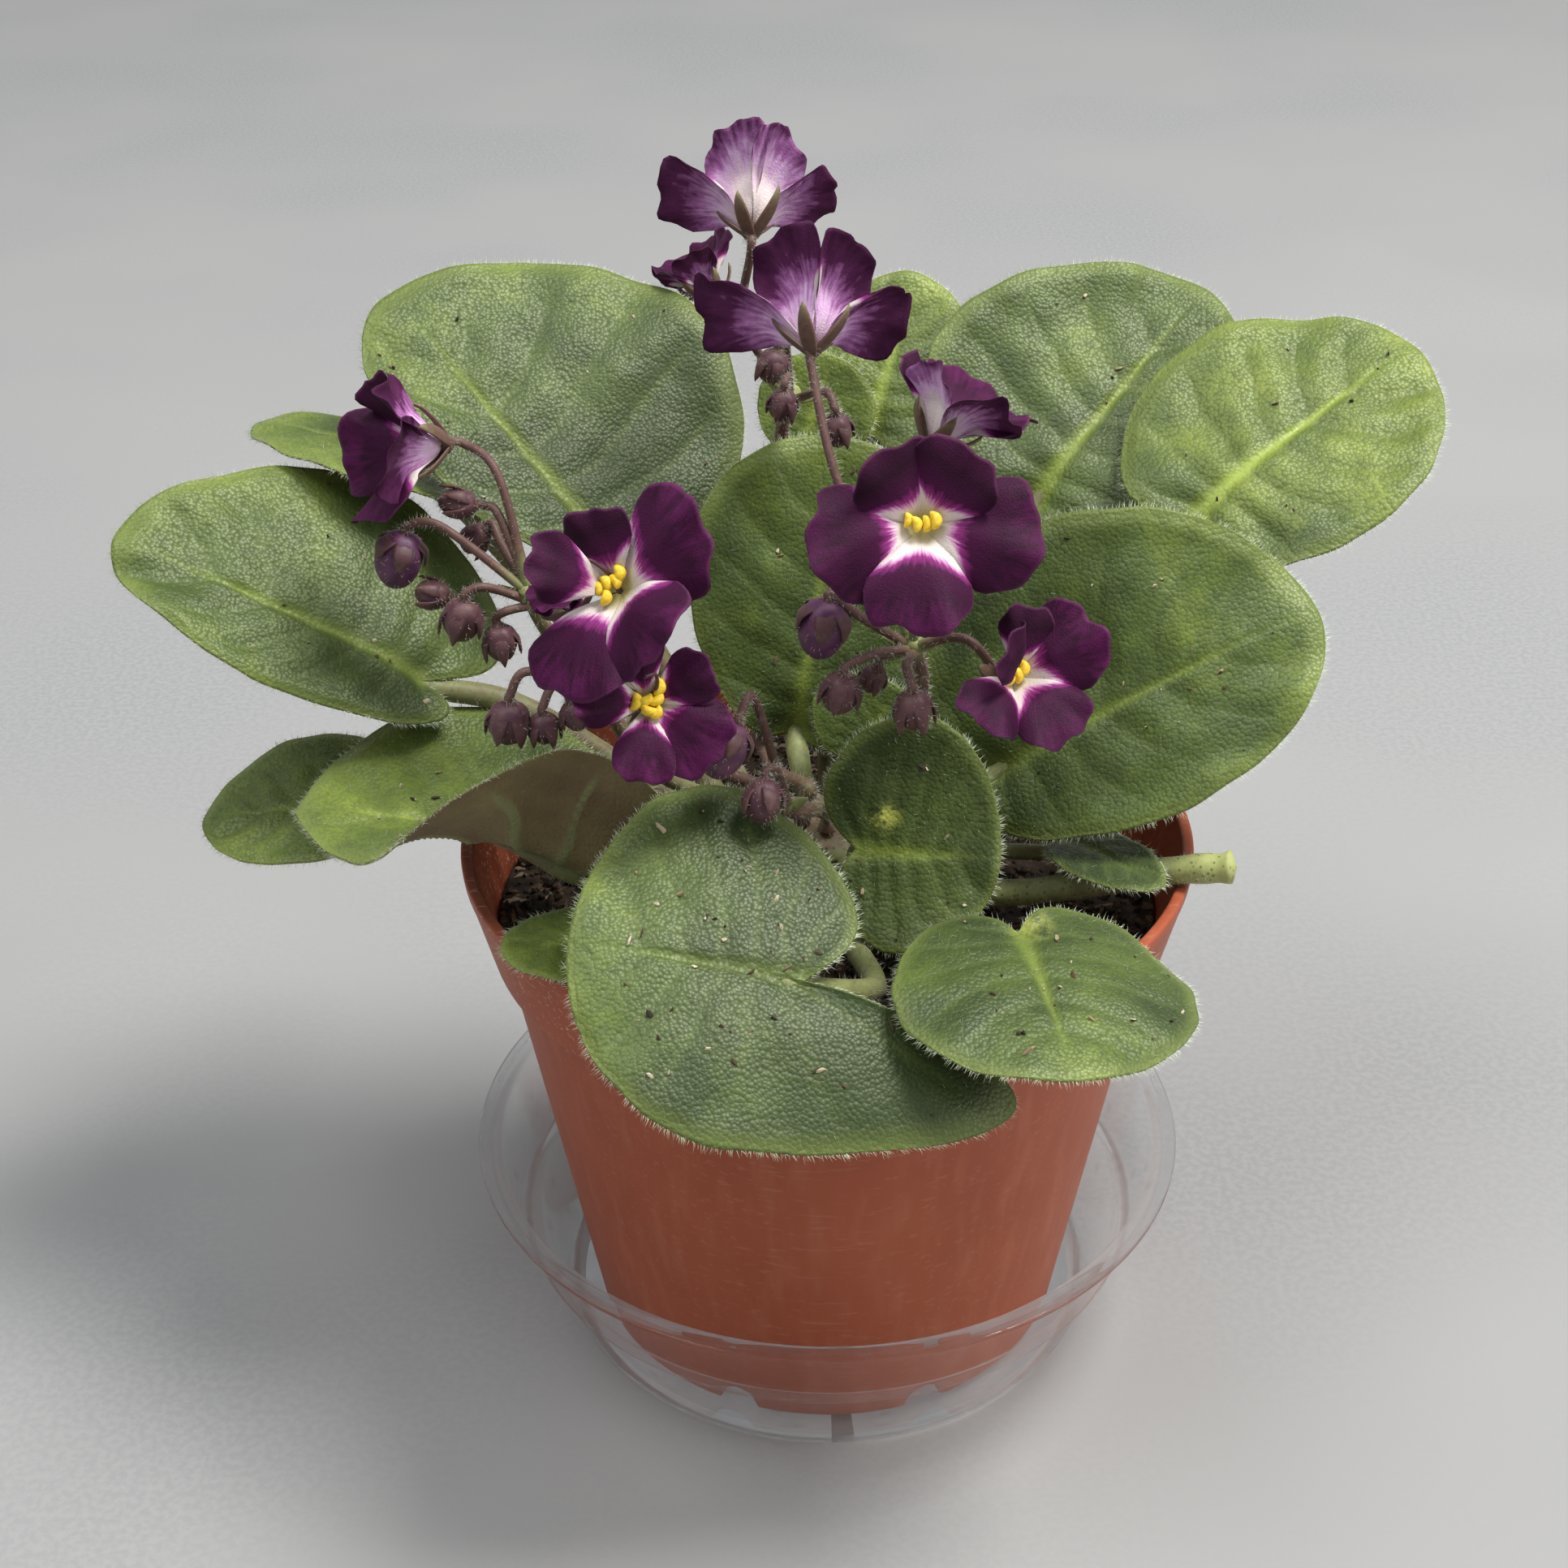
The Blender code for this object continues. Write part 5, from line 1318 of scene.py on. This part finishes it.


# ---- pollen sacs --------------------------------------------------------------------------------------
# Two or three pairs of bright yellow bean-shaped sacs stand in the throat. In two of the flowers a purple
# style curves out beside them.

flesh = {"Subsurface_Weight": 0.2, "Subsurface_Radius": (0.001, 0.0008, 0.0002)}
pollen, shader, s, places = new_finish("pollen_sac", **flesh)
dusty = s.noise(places, 0.6, detail=3.0)
colour = dusty.ramp(0.35, 0.7).mix((0.78, 0.50, 0.012), (0.90, 0.68, 0.05))
plug(shader, Base_Color=colour, Roughness=0.45 + dusty * 0.3, Normal=s.bump(dusty, 0.3, 0.1))

# For a flower, counted from 0: each sac's place across and above the throat's middle, and its turn.
SAC_PLACES = {
    1: [(-1.7, 0.5, 75), (-0.4, 0.9, 95), (1.0, 0.6, 105), (1.9, 1.4, 80), (-1.2, -1.2, 60)],
    2: [(0.6, 2.6, 90), (0.9, 0.9, 70), (-0.6, 0.1, 40), (-1.7, -0.6, 100), (0.2, -1.2, 0), (1.6, -1.0, 80)],
    6: [(-1.9, 0.4, 80), (-0.75, -0.1, 95), (0.75, -0.1, 85), (1.9, 0.4, 100)],
    8: [(-1.3, -0.6, 60), (0.1, -0.2, 90), (1.3, 0.3, 75)],
}
BEAN_GRID = (11, 12)
STYLE_STEPS = 22


def egg_angles(rings, sides, margin):
    """Grids of the angle from end to end of an egg, less a margin at each end, and of the angle round it."""
    return np.meshgrid(np.linspace(margin, 1 - margin, rings) * pi, full_turn(sides), indexing="ij")


def bean(centre, long_way, short_way, up, length):
    """A kidney-shaped sac: an egg whose middle line is bent sideways, with a crease along it."""
    way, turn = egg_angles(*BEAN_GRID, margin=0.02)
    radius = 0.33 * length * np.sin(way) ** 0.8 * (1 - 0.12 * np.exp(-((np.sin(turn / 2)) / 0.25) ** 2))
    x = -0.5 * length * np.cos(way)
    y = radius * np.cos(turn) + 0.18 * length * (x / (0.5 * length)) ** 2
    z = radius * np.sin(turn)
    places = np.multiply.outer(x, long_way) + np.multiply.outer(y, short_way) + np.multiply.outer(z, up)
    ends = np.stack([-0.5 * length * long_way, 0.5 * length * long_way]) + 0.18 * length * short_way
    return centre + np.vstack([places.reshape(-1, 3), ends]), ring_faces(*BEAN_GRID)


styles = []
for number, (flower_index, sac_places) in enumerate(SAC_PLACES.items(), 1):
    flower = FLOWERS[flower_index]
    looks, upper, side = flower_axes(flower)
    centre = np.array(flower["throat"]) - looks * (THROAT_DEPTH - 2.6)
    rng = np.random.default_rng(40 + number)
    sacs = []
    for across, above, turn in sac_places:
        turn = radians(turn + rng.uniform(-12, 12))
        way = side * cos(turn) + upper * sin(turn)
        aside = np.cross(looks, way)
        spot = centre + side * across + upper * above + looks * rng.uniform(-0.2, 0.5)
        points, faces = bean(spot, way, aside, looks, rng.uniform(2.2, 2.7))
        sacs.append((points, faces, {}))
    points, faces, values = gathered(sacs)
    piece(f"pollen_sacs_{number}", points, faces, pollen, f"anthers_{number}", values)
    if flower_index > 2:
        continue
    foot = np.array(flower["throat"]) - looks * (THROAT_DEPTH - 0.6) + upper * 1.2
    steps = ((0, 0, 0), (3.0, 1.2, 0), (5.5, 2.6, 1.0), (6.5, 1.6, 2.4))
    route = [foot + looks * ahead + upper * above - side * aside for ahead, above, aside in steps]
    share = np.linspace(0, 1, STYLE_STEPS)
    radii = 0.32 - 0.08 * share + 0.16 * smooth_step(0.93, 1, share)
    points, faces = tube(spline(route, STYLE_STEPS), radii, sides=8)[:2]
    styles.append((points, faces, {"tint": 1.0, "speckled": 0.0}))
points, faces, values = gathered(styles)
piece("styles", points, faces, stalk_skin, attributes=values)


# ---- buds ---------------------------------------------------------------------------------------------
# Egg-shaped buds nod from their pedicels. Five purple-brown sepals clasp each one; on the largest the
# folded purple petals already show past them.

bud_skin, shader, s, places = new_finish("violet_bud", Sheen_Weight=0.06)
clouds = s.noise(places, 2.0, detail=3.0)
grown = s.attribute("grown")
young = clouds.ramp(0.3, 0.7).mix((0.070, 0.020, 0.034), (0.12, 0.050, 0.048))
old = clouds.ramp(0.3, 0.7).mix((0.060, 0.010, 0.050), (0.13, 0.035, 0.095))
rough = 0.42 + clouds * 0.25
plug(shader, Base_Color=grown.mix(young, old), Roughness=rough, Normal=s.bump(clouds, 0.4, 0.3))
BUD_GRID = (17, 24)


def bud_body(centre, width, length, axis, grown):
    """A folded bud: an egg with five soft creases that wind a little round it."""
    aside = unit(np.cross(axis, (0.4, 0.9, 0.2)))
    above = np.cross(axis, aside)
    way, turn = egg_angles(*BUD_GRID, margin=0.03)
    crease = 1 - 0.09 * np.abs(np.cos(2.5 * turn + 0.5 * way)) ** 3 - 0.02 * np.sin(9 * turn)
    radius = width / 2 * np.sin(way) ** 0.85 * (1 + 0.12 * np.cos(way)) * crease
    along = -length / 2 * np.cos(way) * (1 + 0.06 * grown)
    places = np.multiply.outer(along, axis) + np.multiply.outer(radius * np.cos(turn), aside)
    places += np.multiply.outer(radius * np.sin(turn), above)
    ends = np.stack([-axis, axis]) * length / 2 * (1 + 0.06 * grown)
    return centre + np.vstack([places.reshape(-1, 3), ends]), ring_faces(*BUD_GRID)


bud_sepals = []
bud_hairs = []
for number, (centre, width, length, axis) in enumerate(bud_designs, 1):
    grown = float(smooth_step(6.2, 7.2, width))
    points, faces = bud_body(centre, width, length, axis, grown)
    if np.linalg.det(points[np.array(faces[5])[:3]] - centre) < 0:
        faces = [face[::-1] for face in faces]
    values = {"grown": np.full(len(points), grown)}
    piece(f"bud_body_{number:02d}", points, faces, bud_skin, f"bud_{number:02d}", values)
    base = centre - axis * length * 0.52
    cover = length * (0.55 if grown > 0.5 else 0.95)
    bud_sepals += sepals(base, axis, width * 0.53, cover, width * 0.21, 2.6, 70 + number)
    bud_hairs.append((centre, width / 2, length / 2, axis))
points, faces, values = gathered(bud_sepals)
piece("bud_sepals", points, faces, stalk_skin, attributes=values)


# ---- hairs --------------------------------------------------------------------------------------------
# Fine white hairs stand on every green part: a fringe round each blade, a thin down on it, and a dense coat
# on leaf stalks, flower stalks and buds. They are tapered spikes of four faces each.

def hair_mesh(roots, directions, lengths, radius):
    """A three-sided spike at each root: its corners lie round the root, and its tip along the direction."""
    directions = unit(directions)
    helper = np.where(np.abs(directions[:, 2:]) < 0.9, (0.0, 0.0, 1.0), (1.0, 0.0, 0.0))
    first = unit(np.cross(directions, helper))
    second = np.cross(directions, first)
    turn = np.arange(3) * 2 * pi / 3
    ring = first[:, None] * np.cos(turn)[None, :, None] + second[:, None] * np.sin(turn)[None, :, None]
    tips = roots + directions * lengths[:, None]
    points = np.concatenate([roots[:, None] + ring * radius, tips[:, None]], axis=1)
    faces = np.array([(0, 1, 3), (1, 2, 3), (2, 0, 3), (2, 1, 0)])
    faces = faces[None] + (np.arange(len(roots)) * 4)[:, None, None]
    return points.reshape(-1, 3), faces.reshape(-1, 3).tolist()


def hair_finish(name, colour):
    """Pale hair: its colour goes a little browner in soft clouds over the plant."""
    material, shader, s, places = new_finish(name, Roughness=0.5)
    clouds = s.noise(places, 6.0)
    darker = tuple(0.75 * value for value in colour)
    plug(shader, Base_Color=clouds.ramp(0.3, 0.7).mix(colour, darker))
    return material


# The same pale hair in lit and shaded copies: painted paler on the fringe, where it catches the light at the
# margins, and painted darker and greener as down on the blades.
fringe_finish = hair_finish("fringe_hair", (0.66, 0.72, 0.52))
down_finish = hair_finish("leaf_down_hair", (0.42, 0.50, 0.34))
stalk_hair_finish = hair_finish("stalk_hair", (0.52, 0.50, 0.42))
FRINGE_PER_MM = 5.0
DOWN_PER_MM2 = 0.4
HAIRS_PER_BUD = 120
RIM_STEPS = 1500
# How much denser the down is, for a leaf by its number.
MORE_DOWN = {10: 2.5, 9: 1.2, 16: 2.0}
rng = np.random.default_rng(77)
fringe, down = [], []
for number, leaf in enumerate(LEAVES, 1):
    length = leaf_axes(leaf)[0]
    angle = np.linspace(-pi, pi, RIM_STEPS)
    rim, rim_lower, rim_normal = blade_sides(leaf, np.ones(RIM_STEPS), angle)[:3]
    inner = blade_sides(leaf, np.full(RIM_STEPS, 0.93), angle)[0]
    walked = np.append(0, np.cumsum(np.linalg.norm(np.diff(rim, axis=0), axis=1)))
    count = int(walked[-1] * FRINGE_PER_MM)
    chosen = np.interp(rng.uniform(0, walked[-1], count), walked, np.arange(RIM_STEPS)).astype(int)
    depth = rng.uniform(0, 1, (count, 1))
    roots = rim[chosen] * (1 - depth) + rim_lower[chosen] * depth
    ways = unit(rim - inner)[chosen] + rim_normal[chosen] * rng.normal(0.15, 0.45, (count, 1))
    ways = ways + rng.normal(0, 0.28, (count, 3))
    fringe.append((roots, ways, rng.uniform(0.6, 1.5, count)))
    count = int(DOWN_PER_MM2 * MORE_DOWN.get(number, 1.0) * length * sum(leaf["half"]) * 0.8)
    reach, angle = np.sqrt(rng.uniform(0, 0.98, count)), rng.uniform(-pi, pi, count)
    upper, lower, normal = blade_sides(leaf, reach, angle)[:3]
    lean = leaf_axes(leaf)[1] * 0.5 + rng.normal(0, 0.45, (count, 3))
    down.append((upper, normal + lean, rng.uniform(0.5, 1.3, count)))
    some = rng.uniform(size=count) < 0.3
    down.append((lower[some], lean[some] - normal[some], rng.uniform(0.4, 0.9, some.sum())))
tufts = (("leaf_fringe", fringe, 0.038, fringe_finish), ("leaf_down", down, 0.034, down_finish))
for name, places, radius, finish in tufts:
    roots, ways, lengths = (np.concatenate(column) for column in zip(*places))
    points, faces = hair_mesh(roots, ways, lengths, radius)
    piece(name, points, faces, finish, smooth=False)

coat = []
for path, radii, longest, per_mm in hairy_stalks:
    run = np.linalg.norm(np.diff(path, axis=0), axis=1).sum()
    count = int(run * per_mm)
    place = rng.uniform(0, len(path) - 1.001, count)
    index = place.astype(int)
    part = (place - index)[:, None]
    tangent = unit(np.gradient(path, axis=0))[index]
    middle = path[index] * (1 - part) + path[index + 1] * part
    out = rng.normal(size=(count, 3))
    out = unit(out - tangent * np.sum(out * tangent, axis=1, keepdims=True))
    roots = middle + out * radii[index][:, None] * 0.96
    coat.append((roots, out + rng.normal(0, 0.25, (count, 3)), longest * rng.uniform(0.5, 1.2, count)))
for centre, half_width, half_length, axis in bud_hairs:
    out = unit(rng.normal(size=(HAIRS_PER_BUD, 3)))
    along = np.sum(out * axis, axis=1, keepdims=True) * axis
    roots = centre + (out - along) * half_width * 1.05 + along * half_length
    ways = out + rng.normal(0, 0.25, (HAIRS_PER_BUD, 3))
    coat.append((roots, ways, rng.uniform(0.5, 1.1, HAIRS_PER_BUD)))
roots, ways, lengths = (np.concatenate(column) for column in zip(*coat))
points, faces = hair_mesh(roots, ways, lengths, 0.036)
piece("stalk_hairs", points, faces, stalk_hair_finish, smooth=False)


# ---- specks on the leaves -----------------------------------------------------------------------------
# Crumbs of potting mix and dry scraps that watering and handling left on the blades.

# How many lie on a leaf, by its number.
SPECKS = {4: 10, 1: 14, 3: 12, 5: 22, 8: 8, 9: 46, 10: 22, 11: 12, 12: 12, 6: 6}
specks, shader, s, places = new_finish("dry_specks", Roughness=0.9)
cell_colour = s.node("ShaderNodeTexVoronoi", {"Vector": places, "Scale": 300.0}, output=1)
tint = s.node("ShaderNodeSeparateColor", {0: cell_colour})
stops = [(0.0, (0.03, 0.02, 0.012)), (0.45, (0.10, 0.06, 0.03))]
stops += [(0.7, (0.38, 0.30, 0.18)), (1.0, (0.62, 0.56, 0.42))]
plug(shader, Base_Color=s.node("ShaderNodeValToRGB", {0: tint}, stops=stops))
spots = []
for number, count in SPECKS.items():
    reach, angle = np.sqrt(rng.uniform(0, 0.8, count)), rng.uniform(-pi, pi, count)
    upper, _, normal = blade_sides(LEAVES[number - 1], reach, angle)[:3]
    spots.append(upper + normal * 0.1)
spots = np.vstack(spots)
sizes = rng.uniform(0.16, 0.42, len(spots))
stretch = np.stack([rng.uniform(1.0, 3.2, len(spots)), np.ones(len(spots)), np.full(len(spots), 0.6)], axis=1)
points, faces = crumbs(spots, sizes, stretch, rng)
piece("leaf_specks", points, faces.tolist(), specks, smooth=False)
